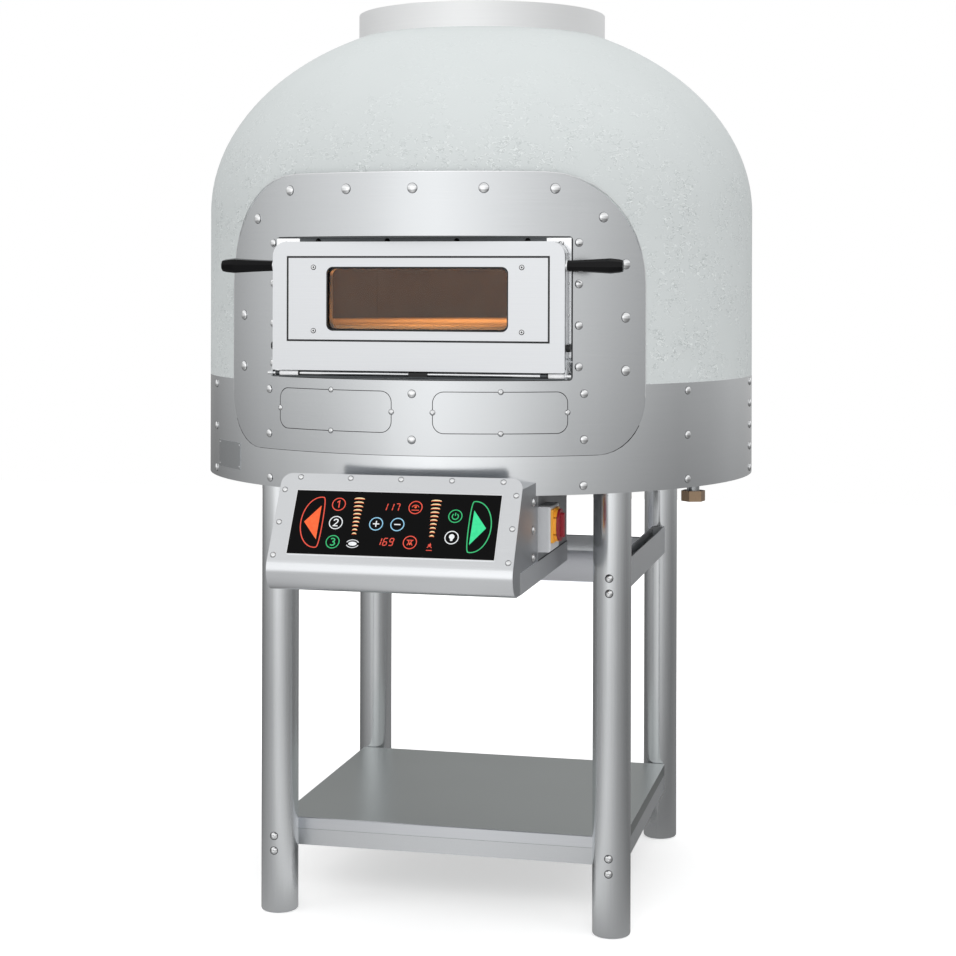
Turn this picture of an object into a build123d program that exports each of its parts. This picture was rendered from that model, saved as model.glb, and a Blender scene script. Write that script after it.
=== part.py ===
from build123d import *
import os
from math import acos, asin, cos, degrees, pi, radians, sin, sqrt, tan

# Gas dome oven with a turning deck, a drop-down glazed door and a round-leg stand.
# Millimetres, +Z up, door towards -Y. The origin is on the floor under the middle of the
# whole outline. A reach is a distance in front of the dome's upright axis, a turn is an
# angle about that axis from the door towards +X, and a height is from the floor.

os.makedirs("parts", exist_ok=True)

# Clearances
slip = 0.05  # radial gap of a shaft or screw in its bore
seat = 0.1  # gap between curved or cast faces that rest on each other
reveal = 0.3  # gap round a cover, pane or panel in its opening

# Stand; the legs' axes stand in from the band, and the upper rails hang from the base plate
leg_r = 35.6
leg_wall = 2.5
leg_round = 5.0
leg_side_in = 226.4
leg_front_in = 232.5
leg_back_in = 200.5
rail_w = 27.0
rail_h = 57.0
rail_wall = 2.0
rail_end = 6.0
upper_rail_drop = 207.6
lower_rail_z = 106.5
cross_rail_h = 52.0
back_rail_drop = 13.0
back_rail_h = 40.0
rail_screw_rise = 14.0
rail_screw_pitch = 28.0
shelf_t = 1.5
shelf_lip = 22.0
shelf_front_gap = 9.9
shelf_back_gap = 2.9
tray_drop = 2.0
tray_lip = 30.0
tray_d = 432.0
tray_back_gap = 3.9
m8_r = 4.0
m8_head_r = 7.0
m8_head_h = 4.4

# Base drum
base_z = 830.6
base_t = 3.0
socket_depth = 60.0
socket_wall = 4.0
band_r = 550.0
band_t = 1.5
band_h = 194.5
drum_t = 3.0
drum_flange = 30.0

# Wrapped front sheet with two flush covers, their inner edges measured along the sheet and
# their outer edges set in from the mouth's sides
front_t = 1.8
front_half_w = 439.0
front_over = 115.0
front_under = 40.0
front_top_round = 200.0
front_foot_round = 100.0
cover_in = 38.0
cover_side = 7.0
cover_h = 74.0
cover_drop = 10.1
cover_round = 20.0
cover_lap = 10.0

# Rivets, each row set in from an edge of the front sheet, the mouth, a cover or the band
rivet_r = 9.0
rivet_h = 4.0
rivet_pitch = 128.4
rivet_drop = 29.0
rivet_corner_in = 89.2
rivet_corner_drop = 79.0
rivet_side_in = 43.0
rivet_side_drop = 48.0
rivet_side_rise = 15.5
rivet_mouth_out = 10.8
rivet_mouth_drop = 10.0
rivet_mouth_rise = 23.5
rivet_cover_out = 31.2
rivet_cover_drop = 4.0
rivet_cover_under = 12.0
band_rivet_turn = 57.0
band_rivet_drop = 14.5
band_rivet_rise = 16.0
seam_rivet_turn = 88.0
seam_rivet_drop = 10.5
seam_rivet_rise = 14.0

# Small screws, set in from the edges of the control face and of the mouth frame
screw_r = 4.0
screw_h = 1.2
face_screw_in = 34.7
face_screw_drop = 7.3
face_screw_side = 9.5
face_screw_rise = 8.9
face_screw_under = 32.3
header_screw_in = 65.0
header_screw_out = 196.0
header_screw_drop = 5.7
strip_head_screw_in = 19.0
strip_head_screw_drop = 11.0
strip_screw_in = 9.0
strip_screw_rise = 115.5
strip_screw_pitch = 57.0

# Mouth, above the head of the band
mouth_half = 276.0
mouth_h = 255.5
mouth_over = 10.4
mouth_round = 6.0
frame_proud = 7.465
frame_t = 1.5
return_t = 1.2
frame_depth = 12.0
throat_side = 61.0
throat_drop = 19.0
strip_gap = 18.0
strip_t = 0.8
liner_wall = 24.0

# Dome: render, mineral wool and refractory blocks, from the outside in
dome_over = 59.0
dome_rise = 396.0
plaster_t = 12.0
wool_t = 38.0
block_t = 60.0
block_joint = 0.5
chamber_wall = 122.0
chamber_rise = 310.0
collar_r = 251.4
collar_t = 1.5
collar_over = 6.0
collar_lid_drop = 15.0
flue_bore_r = 100.0
flue_t = 1.5

# Hearth and turning deck
hearth_rise = 92.5
hearth_t = 68.0
deck_margin = 40.0
deck_over = 2.0
deck_t = 40.0
deck_edge = 2.0
deck_gap = 4.0
disc_t = 8.0
disc_inset = 5.0
rib_count = 6
rib_t = 10.0
rib_h = 22.0
hub_r = 60.0
shaft_r = 20.0
gear_r = 120.0
gear_teeth = 60
pinion_teeth = 15
gear_t = 20.0
gear_play = 0.3
gear_holes = 6
gear_hole_r = 18.0
housing_r = 36.0
housing_flange_r = 80.0
housing_flange_t = 12.0
bush_r = 26.0
bush_h = 25.0
washer_t = 10.0
motor_shaft_r = 10.0
motor_shaft_gap = 1.0
gearbox_w = 110.0
gearbox_d = 90.0
gearbox_h = 80.0
gearbox_round = 8.0
gearbox_drop = 14.0
motor_r = 42.0
motor_h = 60.0
motor_post_r = 6.0

# Gas, lamp and probe
gas_inset = 34.0
gas_pipe_r = 12.5
gas_pipe_wall = 2.0
nut_flats = 42.0
nut_turn = 18.0
nut_drop = 57.6
nut_h = 21.0
nut_bore_r = 15.15
nut_bore_depth = 16.0
manifold_rise = 49.4
burner_inset = 100.0
burner_tube_r = 14.0
burner_drop = 50.0
burner_turn = 240.0
burner_port_turn = 228.0
burner_posts = 3
port_r = 2.5
port_count = 17
post_r = 6.0
flame_bar_inset = 9.0
flame_bar_w = 18.0
flame_bar_turn = 40.0
flame_port_count = 9
plenum_w = 40.0
plenum_drop = 26.0
plenum_h = 20.0
lamp_turn = 60.0
lamp_rise = 102.0
lamp_r = 24.0
lamp_set = 6.0
lamp_cover = 8.0
lens_t = 5.0
probe_turn = 150.0
probe_rise = 172.0
probe_r = 3.0
probe_head_r = 8.0
probe_tip = 40.0
probe_cover = 18.0

# Door, hung in front of the mouth frame
leaf_gap = 3.8
leaf_side_gap = 5.4
leaf_head_gap = 8.5
leaf_foot_gap = 5.6
leaf_t = 35.0
leaf_proud = 6.5
leaf_top_round = 26.0
leaf_foot_round = 3.0
panel_side = 30.35
panel_drop = 29.5
panel_rise = 55.8
panel_t = 6.0
groove_w = 3.5
window_side = 71.75
window_edge = 15.9
window_round = 12.0
glass_lap = 10.0
glass_t = 5.0
well_inset = 3.5
gasket_side = 4.0
gasket_over = 2.0
gasket_under = 9.0
gasket_w = 7.0
gasket_round = 2.0
rod_r = 3.25
rod_end = 7.4
barrel_r = 4.25
barrel_w = 40.0
barrel_in = 4.0
sill_in = 6.0
sill_t = 2.6
sill_out = 3.5
sill_gap = 1.8
bearing_w = 35.0
bearing_x = 2.5
bearing_r = 5.2
bearing_gap = 9.8
arm_t = 3.0
arm_r = 6.5
arm_rise = 25.2
arm_back = 14.5
arm_pin_r = 1.5
arm_pin = 7.0
buffer_r = 6.8
buffer_t = 7.0
buffer_rise = 49.2
buffer_back = 11.5
grip_drop = 43.5
grip_in = 14.0
grip_root_r = 9.5
grip_belly_r = 13.25
grip_belly = 79.0
grip_tip_r = 9.0
grip_tip = 4.0
grip_length = 102.0

# Controls, hung from the base plate and out in front of the band
panel_tilt = 31.2
roll_r = 36.0
roll_out = 122.6
roll_drop = 119.1
face_half = 217.5
face_length = 165.6
face_t = 2.0
face_round = 20.0
face_lip = 29.9
touch_side = 34.0
touch_drop = 33.6
touch_rise = 12.0
touch_t = 2.0
box_side = 2.5
box_out = 10.0
box_d = 364.0
box_wall = 1.5
cowl_in = 63.0
flange_screw_in = 18.0
flange_screw_rise = 12.0
flange_screw_under = 9.1
flange_screw_l = 12.0
control_tray_lip = 12.0
isolator_in = 104.0
isolator_drop = 57.6
isolator_ahead = 34.0
isolator_behind = 49.0
isolator_under = 46.0
isolator_over = 35.0
isolator_out = 23.0
isolator_round = 4.0
isolator_plate_w = 64.0
isolator_plate_h = 60.0
isolator_plate_t = 4.0
isolator_boss_r = 30.0
isolator_boss_t = 5.0
lock_hole_r = 2.5
lock_hole_out = 24.0
lock_hole_rise = 14.0
knob_r = 29.0
knob_t = 4.0
knob_bar_w = 14.0
knob_bar_t = 6.0
knob_shaft_r = 5.0
knob_shaft = 6.0

# Reaches and radii worked out from the sizes above, from the outside in
roll_reach = band_r + roll_out
front_reach = roll_reach + roll_r
dome_y = (front_reach - band_r) / 2
front_r = band_r + reveal
outer_r = front_r + front_t
leg_x = band_r - leg_side_in
leg_front = band_r - leg_front_in
leg_back = band_r - leg_back_in
shelf_front = leg_front - leg_r - shelf_front_gap
shelf_back = leg_back - leg_r - shelf_back_gap
tray_back = leg_back - leg_r - tray_back_gap
tray_front = tray_d - tray_back
frame_reach = sqrt(band_r**2 - mouth_half**2) + frame_proud
frame_back = frame_reach - frame_t
throat_half = mouth_half - throat_side
block_r = band_r - plaster_t - wool_t
chamber_r = block_r - block_t
deck_r = chamber_r - deck_margin
drum_r = block_r - drum_flange
gas_x = drum_r - gas_inset
burner_r = deck_r - burner_inset
flame_bar_r = deck_r + deck_gap + flame_bar_inset + flame_bar_w / 2
lamp_in = chamber_r + lamp_set
lamp_out = band_r - plaster_t - lamp_cover
probe_in = chamber_r - probe_tip
probe_out = band_r - plaster_t - probe_cover
gear_module = 2 * gear_r / gear_teeth
pinion_r = gear_module * pinion_teeth / 2
pinion_y = gear_r + pinion_r
leaf_half = mouth_half - leaf_side_gap
leaf_back = frame_reach + leaf_gap
hinge_reach = leaf_back + leaf_t - leaf_proud
panel_half = leaf_half - panel_side
window_half = panel_half - window_side
gasket_half = throat_half + gasket_side
touch_half = face_half - touch_side
box_half = face_half - box_side
box_front = band_r + box_out
box_back = box_front - box_d
cowl_edge = band_r - cowl_in
flange_screw_reach = band_r - flange_screw_in
isolator_reach = band_r - isolator_in
cover_out = outer_r * asin((mouth_half - cover_side) / outer_r)

# Heights worked out from the sizes above, from the floor up
upper_rail_z = base_z - upper_rail_drop
back_rail_z = upper_rail_z - back_rail_drop
roll_z = base_z - roll_drop
box_foot = roll_z
isolator_z = base_z - isolator_drop
nut_z = base_z - nut_drop
drum_floor = base_z + base_t
band_head = base_z + band_h
cover_head = band_head - cover_drop
cover_foot = cover_head - cover_h
front_foot = cover_foot - front_under
mouth_sill = band_head + mouth_over
mouth_head = mouth_sill + mouth_h
front_head = mouth_head + front_over
throat_head = mouth_head - throat_drop
sill_z = mouth_sill + reveal + return_t
hinge_z = sill_z + sill_t + barrel_r - slip
leaf_foot = hinge_z + leaf_foot_gap
leaf_head = mouth_head - leaf_head_gap
leaf_h = leaf_head - leaf_foot
leaf_centre_z = (leaf_head + leaf_foot) / 2
panel_h = leaf_h - panel_drop - panel_rise
panel_centre_z = leaf_foot + panel_rise + panel_h / 2
window_h = panel_h - 2 * window_edge
hearth_top = mouth_sill + hearth_rise
bed_z = hearth_top - hearth_t
deck_top = hearth_top + deck_over
deck_foot = deck_top - deck_t
disc_foot = deck_foot - disc_t
hub_foot = disc_foot - rib_h
gear_foot = hub_foot - gear_t
burner_z = hub_foot - burner_drop
plenum_z = bed_z - plenum_drop
manifold_z = base_z + manifold_rise
lamp_z = hearth_top + lamp_rise
probe_z = hearth_top + probe_rise
chamber_spring = hearth_top + chamber_wall
block_rise = chamber_rise + block_t
spring_z = mouth_head + dome_over
collar_head = spring_z + dome_rise + collar_over
flue_foot = chamber_spring + chamber_rise * sqrt(1 - (flue_bore_r / chamber_r) ** 2)
collar_foot = spring_z + (dome_rise - plaster_t) * sqrt(
    1 - (collar_r / (band_r - plaster_t)) ** 2
)
dome_axis = Axis((0, dome_y, 0), (0, 0, 1))


# Planes on the dome's axis
def level(height):
    return Plane((0, dome_y, height))


def front(reach):
    return Plane((0, dome_y - reach, 0), x_dir=(1, 0, 0), z_dir=(0, -1, 0))


def side(x):
    return Plane((x, dome_y, 0), x_dir=(0, 1, 0), z_dir=(1, 0, 0))


def radial(turn):
    out = (sin(radians(turn)), -cos(radians(turn)), 0)
    across = (-cos(radians(turn)), -sin(radians(turn)), 0)
    return Plane((0, dome_y, 0), x_dir=out, z_dir=across)


def spoke(turn, reach, height):
    out = Vector(sin(radians(turn)), -cos(radians(turn)), 0)
    along = Vector(cos(radians(turn)), sin(radians(turn)), 0)
    return Plane(Vector(0, dome_y, height) + out * reach, x_dir=along, z_dir=out)


def front_place(x, reach, height):
    return Plane((x, dome_y - reach, height), x_dir=(1, 0, 0), z_dir=(0, -1, 0))


# Shapes used more than once, each drawn in the sketch or part that is open
def dome_outline(reach, rise, spring, foot, mode=Mode.ADD):
    with BuildLine() as outline:
        Line((0, foot), (reach, foot))
        Line((reach, foot), (reach, spring))
        crown = EllipticalCenterArc((0, spring), reach, rise, 0, arc_size=90)
        Line(crown @ 1, (0, foot))
    make_face(outline.edges(), mode=mode)


def ring(outer, inner):
    Circle(outer)
    Circle(inner, mode=Mode.SUBTRACT)


def drill(place, radius, depth):
    with BuildSketch(place) as hole:
        Circle(radius)
    extrude(hole.sketch, amount=-depth, mode=Mode.SUBTRACT)


def domed_head(place, radius, height):
    ball = (radius**2 + height**2) / (2 * height)
    with BuildSketch(Plane(place.origin, x_dir=place.x_dir, z_dir=place.y_dir * -1)) as half:
        with BuildLine():
            Line((0, 0), (radius, 0))
            RadiusArc((radius, 0), (0, height), -ball)
            Line((0, height), (0, 0))
        make_face()
    revolve(half.sketch, axis=Axis(place.origin, place.z_dir))


def flat_head(place, radius, height):
    with BuildSketch(place) as head:
        Circle(radius)
    extrude(head.sketch, amount=height, taper=20)


def front_window(inner, outer, foot, head, corner):
    low = outer_r * sin(inner / outer_r)
    high = outer_r * sin(outer / outer_r)
    with Locations(((low + high) / 2, (foot + head) / 2)):
        RectangleRounded(high - low, head - foot, corner)


# Places of the fasteners
def spaced(first, last, steps):
    return [first + (last - first) * step / steps for step in range(steps + 1)]


def on_sheet(width, radius):
    return degrees(width / radius)


def rivet_places():
    beside = degrees(asin((mouth_half + rivet_mouth_out) / outer_r))
    side_turn = on_sheet(front_half_w - rivet_side_in, outer_r)
    corner = on_sheet(front_half_w - rivet_corner_in, outer_r)
    cover_turn = on_sheet(cover_out + rivet_cover_out, outer_r)
    rows = [(on_sheet(step * rivet_pitch, outer_r), front_head - rivet_drop) for step in range(3)]
    rows += [(corner, front_head - rivet_corner_drop)]
    for height in spaced(mouth_sill + rivet_side_rise, mouth_head - rivet_side_drop, 2):
        rows.append((side_turn, height))
    for height in spaced(mouth_sill + rivet_mouth_rise, mouth_head - rivet_mouth_drop, 3):
        rows.append((beside, height))
    for height in (cover_head - rivet_cover_drop, cover_foot - rivet_cover_under):
        rows += [(0, height), (cover_turn, height)]
    both = {(way * turn, height) for turn, height in rows for way in (-1, 1)}
    return [spoke(turn, outer_r, height) for turn, height in sorted(both)]


def band_rivet_places():
    rows = [(on_sheet(cover_out + rivet_cover_out, outer_r), base_z + band_rivet_rise)]
    for height in spaced(base_z + band_rivet_rise, band_head - band_rivet_drop, 2):
        rows.append((band_rivet_turn, height))
    for height in spaced(base_z + seam_rivet_rise, band_head - seam_rivet_drop, 4):
        rows.append((seam_rivet_turn, height))
    both = {(way * turn, height) for turn, height in rows for way in (-1, 1)}
    return [spoke(turn, band_r, height) for turn, height in sorted(both)]


def flange_places():
    places = []
    for way in (-1, 1):
        for height in spaced(box_foot + flange_screw_rise, base_z - flange_screw_under, 2):
            origin = (way * (box_half + box_wall), dome_y - flange_screw_reach, height)
            places.append(Plane(origin, x_dir=(0, way, 0), z_dir=(way, 0, 0)))
    return places


# Legs, tubes with a rounded closed foot
for name, x, y in (
    ("leg_front_left", -leg_x, -leg_front),
    ("leg_front_right", leg_x, -leg_front),
    ("leg_back_left", -leg_x, leg_back),
    ("leg_back_right", leg_x, leg_back),
):
    with BuildPart() as leg:
        with BuildSketch(level(0)):
            with Locations((x, y)):
                Circle(leg_r)
        extrude(amount=base_z)
        fillet(leg.edges().sort_by(Axis.Z)[0], leg_round)
        with BuildSketch(level(base_z)):
            with Locations((x, y)):
                Circle(leg_r - leg_wall)
        extrude(amount=-(base_z - leg_wall - leg_round), mode=Mode.SUBTRACT)
        for rail_z in (lower_rail_z, upper_rail_z):
            for row in range(2):
                hole_z = rail_z + rail_screw_rise + row * rail_screw_pitch
                with BuildSketch(front(-y - leg_r)):
                    with Locations((x, hole_z)):
                        Circle(m8_r + slip)
                extrude(amount=2 * leg_r, mode=Mode.SUBTRACT)
    leg.part.label = name
    export_step(leg.part, f"parts/{name}.step")

# Side rails, channels open upwards with an end plate saddled to each leg
for name, rail_z in (("lower_side_rails", lower_rail_z), ("upper_side_rails", upper_rail_z)):
    with BuildPart() as side_rails:
        with BuildSketch(front(leg_front)):
            with Locations((leg_x, rail_z + rail_h / 2)):
                Rectangle(rail_w, rail_h)
            with Locations((leg_x, rail_z + rail_h / 2 + rail_wall)):
                Rectangle(rail_w - 2 * rail_wall, rail_h, mode=Mode.SUBTRACT)
        extrude(amount=-(leg_front + leg_back))
        for reach, way in ((leg_front, -1), (-leg_back, 1)):
            with BuildSketch(front(reach)):
                with Locations((leg_x, rail_z + rail_h / 2)):
                    Rectangle(rail_w, rail_h)
            extrude(amount=way * (leg_r + rail_end))
        with BuildSketch(level(rail_z)):
            with Locations((leg_x, -leg_front), (leg_x, leg_back)):
                Circle(leg_r + seat)
        extrude(amount=rail_h, mode=Mode.SUBTRACT)
        for row in range(2):
            with BuildSketch(front(leg_front)):
                with Locations((leg_x, rail_z + rail_screw_rise + row * rail_screw_pitch)):
                    Circle(m8_r + slip)
            extrude(amount=-(leg_front + leg_back), mode=Mode.SUBTRACT)
        mirror(about=Plane.YZ)
    side_rails.part.label = name
    export_step(side_rails.part, f"parts/{name}.step")

# Cross rails: one behind the control box and two under the shelf
with BuildPart() as cross_rails:
    with BuildSketch(side(-leg_x)):
        with Locations((leg_back, back_rail_z + back_rail_h / 2)):
            Rectangle(rail_w, back_rail_h)
        with Locations((leg_back, back_rail_z + back_rail_h / 2 + rail_wall)):
            Rectangle(rail_w - 2 * rail_wall, back_rail_h, mode=Mode.SUBTRACT)
    extrude(amount=2 * leg_x)
    with BuildSketch(level(back_rail_z)):
        with Locations((-leg_x, leg_back), (leg_x, leg_back)):
            Circle(leg_r + seat)
    extrude(amount=back_rail_h, mode=Mode.SUBTRACT)
    rail_inside = leg_x - rail_w / 2 - seat
    cross_z = lower_rail_z + rail_h - cross_rail_h / 2
    cross_in = shelf_t + seat + rail_w / 2
    with BuildSketch(side(-rail_inside)):
        with Locations((cross_in - shelf_front, cross_z), (shelf_back - cross_in, cross_z)):
            Rectangle(rail_w, cross_rail_h)
        with Locations(
            (cross_in - shelf_front, cross_z + rail_wall),
            (shelf_back - cross_in, cross_z + rail_wall),
        ):
            Rectangle(rail_w - 2 * rail_wall, cross_rail_h, mode=Mode.SUBTRACT)
    extrude(amount=2 * rail_inside)
cross_rails.part.label = "cross_rails"
export_step(cross_rails.part, "parts/cross_rails.step")

# Shelf, a folded sheet whose lip covers the tops of the lower rails
with BuildPart() as shelf:
    shelf_w = 2 * leg_x + rail_w + 2 * (seat + shelf_t)
    shelf_d = shelf_front + shelf_back
    shelf_mid = (shelf_back - shelf_front) / 2
    with BuildSketch(level(lower_rail_z + rail_h + shelf_t)):
        with Locations((0, shelf_mid)):
            Rectangle(shelf_w, shelf_d)
    extrude(amount=-shelf_lip)
    fillet(shelf.edges().filter_by(Axis.Z), 2 * shelf_t)
    with BuildSketch(level(lower_rail_z + rail_h)):
        with Locations((0, shelf_mid)):
            Rectangle(shelf_w - 2 * shelf_t, shelf_d - 2 * shelf_t)
        with Locations((-leg_x, shelf_mid), (leg_x, shelf_mid)):
            Rectangle(rail_w + 2 * seat, 2 * shelf_d)
    extrude(amount=-shelf_lip, mode=Mode.SUBTRACT)
shelf.part.label = "shelf"
export_step(shelf.part, "parts/shelf.step")

# Tray between the upper rails, with its edges turned up against them
with BuildPart() as bottom_tray:
    with BuildSketch(front(tray_front)):
        with Locations((0, upper_rail_z - tray_drop + tray_lip / 2)):
            Rectangle(2 * rail_inside, tray_lip)
        with Locations((0, upper_rail_z - tray_drop + tray_lip / 2 + shelf_t)):
            Rectangle(2 * (rail_inside - shelf_t), tray_lip, mode=Mode.SUBTRACT)
    extrude(amount=-(tray_front + tray_back))
bottom_tray.part.label = "bottom_tray"
export_step(bottom_tray.part, "parts/bottom_tray.step")

# M8 button-head screws: two through each leg into each side rail, and three on each
# flange of the control cowl
with BuildPart() as m8_screws:
    for rail_z in (lower_rail_z, upper_rail_z):
        for row in range(2):
            screw_z = rail_z + rail_screw_rise + row * rail_screw_pitch
            for x in (-leg_x, leg_x):
                ahead = front_place(x, leg_front + leg_r, screw_z)
                back = (x, dome_y + leg_back + leg_r, screw_z)
                for place in (ahead, Plane(back, x_dir=(-1, 0, 0), z_dir=(0, 1, 0))):
                    flat_head(place, m8_head_r, m8_head_h)
                    with BuildSketch(place):
                        Circle(m8_r)
                    extrude(amount=-(2 * leg_r + rail_end))
    for place in flange_places():
        flat_head(place, m8_head_r, m8_head_h)
        with BuildSketch(place):
            Circle(m8_r)
        extrude(amount=-flange_screw_l)
m8_screws.part.label = "m8_screws"
export_step(m8_screws.part, "parts/m8_screws.step")

# Base plate with a socket for each leg and the drum that carries the hearth
with BuildPart() as base_frame:
    with BuildSketch(level(base_z)):
        Circle(band_r - band_t)
        with Locations((gas_x, 0)):
            Circle(gas_pipe_r + reveal, mode=Mode.SUBTRACT)
    extrude(amount=base_t)
    with BuildSketch(level(base_z - slip)):
        with Locations(*[(x, y) for x in (-leg_x, leg_x) for y in (-leg_front, leg_back)]):
            ring(leg_r - leg_wall - seat, leg_r - leg_wall - seat - socket_wall)
    extrude(amount=-socket_depth)
    with BuildSketch(level(drum_floor + slip)):
        ring(drum_r, drum_r - drum_t)
    extrude(amount=bed_z - drum_floor - slip)
    with BuildSketch(level(bed_z - drum_t)):
        ring(drum_r + drum_flange, drum_r - drum_flange)
        with Locations((0, seat - frame_back - band_r)):
            Rectangle(2 * band_r, 2 * band_r, mode=Mode.SUBTRACT)
    extrude(amount=drum_t)
base_frame.part.label = "base_frame"
export_step(base_frame.part, "parts/base_frame.step")

# Band round the base, with an access opening behind each cover
with BuildPart() as base_band:
    with BuildSketch(level(base_z)):
        ring(band_r, band_r - band_t)
    extrude(amount=band_h)
    with BuildSketch(front(0)):
        front_window(
            cover_in + cover_lap,
            cover_out - cover_lap,
            cover_foot + cover_lap,
            cover_head - cover_lap,
            cover_round - cover_lap,
        )
        mirror(about=Plane.YZ)
    extrude(amount=band_r + 1, mode=Mode.SUBTRACT)
base_band.part.label = "base_band"
export_step(base_band.part, "parts/base_band.step")

# Mineral wool between the band and the drum
with BuildPart() as base_insulation:
    with BuildSketch(level(drum_floor)):
        ring(band_r - band_t - seat, drum_r + seat)
    extrude(amount=band_head - drum_floor)
base_insulation.part.label = "base_insulation"
export_step(base_insulation.part, "parts/base_insulation.step")

# Front sheet wrapped round the dome, with the mouth and the cover openings cut out
front_x = outer_r * sin(front_half_w / outer_r)
front_top_x = outer_r * sin((front_half_w - front_top_round) / outer_r)
front_foot_x = outer_r * sin((front_half_w - front_foot_round) / outer_r)
with BuildPart() as front_sheet:
    with BuildSketch(level(front_foot)):
        ring(outer_r, front_r)
    extrude(amount=front_head - front_foot)
    with BuildSketch(front(0)):
        with BuildLine():
            Line((0, front_head), (front_top_x, front_head))
            EllipticalCenterArc(
                (front_top_x, front_head - front_top_round),
                front_x - front_top_x,
                front_top_round,
                0,
                arc_size=90,
            )
            Line((front_x, front_head - front_top_round), (front_x, front_foot + front_foot_round))
            EllipticalCenterArc(
                (front_foot_x, front_foot + front_foot_round),
                front_x - front_foot_x,
                front_foot_round,
                270,
                arc_size=90,
            )
            Line((front_foot_x, front_foot), (0, front_foot))
            Line((0, front_foot), (0, front_head))
        make_face()
        mirror(about=Plane.YZ)
        with Locations((0, (mouth_sill + mouth_head) / 2)):
            RectangleRounded(
                2 * mouth_half, mouth_head - mouth_sill, mouth_round, mode=Mode.SUBTRACT
            )
    extrude(amount=outer_r + 1, mode=Mode.INTERSECT)
    with BuildSketch(front(0)):
        front_window(cover_in, cover_out, cover_foot, cover_head, cover_round)
        mirror(about=Plane.YZ)
    extrude(amount=outer_r + 1, mode=Mode.SUBTRACT)
front_sheet.part.label = "front_sheet"
export_step(front_sheet.part, "parts/front_sheet.step")

# Flush covers over the access openings
with BuildPart() as inspection_covers:
    with BuildSketch(level(cover_foot)):
        ring(outer_r, band_r + slip)
    extrude(amount=cover_head - cover_foot)
    with BuildSketch(front(0)):
        front_window(
            cover_in + reveal,
            cover_out - reveal,
            cover_foot + reveal,
            cover_head - reveal,
            cover_round - reveal,
        )
        mirror(about=Plane.YZ)
    extrude(amount=outer_r + 1, mode=Mode.INTERSECT)
inspection_covers.part.label = "inspection_covers"
export_step(inspection_covers.part, "parts/inspection_covers.step")

# Domed rivets of the front sheet and of the band
with BuildPart() as domed_rivets:
    for place in rivet_places() + band_rivet_places():
        domed_head(place, rivet_r, rivet_h)
domed_rivets.part.label = "domed_rivets"
export_step(domed_rivets.part, "parts/domed_rivets.step")

# Control face lines: points of the side view, from the line where the roll begins
tilt = radians(panel_tilt)


def on_face(up, out):
    y = -roll_reach - cos(tilt) * (roll_r + out) + sin(tilt) * up
    z = roll_z + sin(tilt) * (roll_r + out) + cos(tilt) * up
    return (y, z)


face_start = on_face(0, 0)
face_plane = Plane(
    (0, dome_y + face_start[0], face_start[1]),
    x_dir=(1, 0, 0),
    z_dir=(0, -cos(tilt), sin(tilt)),
)


def face_place(x, up):
    return Plane(face_plane.from_local_coords((x, up, 0)), x_dir=(1, 0, 0), z_dir=face_plane.z_dir)


# Small low-head screws of the covers, the control face and the mouth frame
with BuildPart() as face_screws:
    cover_mid = (cover_in + cover_out) / 2
    cover_mid_z = (cover_foot + cover_head) / 2
    for way in (-1, 1):
        for width, height in (
            (cover_mid, cover_head),
            (cover_mid, cover_foot),
            (cover_in, cover_mid_z),
            (cover_out, cover_mid_z),
        ):
            flat_head(spoke(way * on_sheet(width, outer_r), outer_r, height), screw_r, screw_h)
    for x in spaced(face_screw_in - face_half, face_half - face_screw_in, 4):
        flat_head(face_place(x, face_length - face_screw_drop), screw_r, screw_h)
    for way in (-1, 1):
        for up in spaced(face_screw_rise, face_length - face_screw_under, 2):
            flat_head(face_place(way * (face_half - face_screw_side), up), screw_r, screw_h)
        for x in (header_screw_in, header_screw_out):
            place = front_place(way * x, frame_reach, mouth_head - header_screw_drop)
            flat_head(place, screw_r, screw_h)
        for inset, height in (
            (strip_head_screw_in, mouth_head - strip_head_screw_drop),
            (strip_screw_in, mouth_sill + strip_screw_rise),
            (strip_screw_in, mouth_sill + strip_screw_rise + strip_screw_pitch),
        ):
            place = front_place(way * (mouth_half - inset), frame_reach + strip_t, height)
            flat_head(place, screw_r, screw_h)
face_screws.part.label = "face_screws"
export_step(face_screws.part, "parts/face_screws.step")

# Mouth frame, a folded tray: plate behind the leaf, sill and head out to the front sheet
frame_half = mouth_half - reveal
return_half = frame_half - mouth_round
frame_foot = mouth_sill + reveal
frame_head = mouth_head - reveal
with BuildPart() as mouth_frame:
    with BuildSketch(front(frame_back)):
        with Locations((0, (frame_foot + frame_head) / 2)):
            Rectangle(2 * frame_half, frame_head - frame_foot)
        with Locations((0, (hearth_top + throat_head) / 2)):
            Rectangle(2 * throat_half, throat_head - hearth_top, mode=Mode.SUBTRACT)
    extrude(amount=frame_t)
    with BuildSketch(level(frame_foot), level(frame_head - return_t)):
        Circle(outer_r)
        with Locations((0, band_r - frame_back)):
            Rectangle(2 * band_r, 2 * band_r, mode=Mode.SUBTRACT)
        with Locations((band_r + return_half, 0), (-band_r - return_half, 0)):
            Rectangle(2 * band_r, 3 * band_r, mode=Mode.SUBTRACT)
    extrude(amount=return_t)
    with BuildSketch(front(frame_back)):
        with Locations(
            (frame_half - return_t / 2, (frame_foot + frame_head) / 2),
            (-frame_half + return_t / 2, (frame_foot + frame_head) / 2),
        ):
            Rectangle(return_t, frame_head - frame_foot - 2 * mouth_round)
    extrude(amount=-frame_depth)
mouth_frame.part.label = "mouth_frame"
export_step(mouth_frame.part, "parts/mouth_frame.step")

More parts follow.
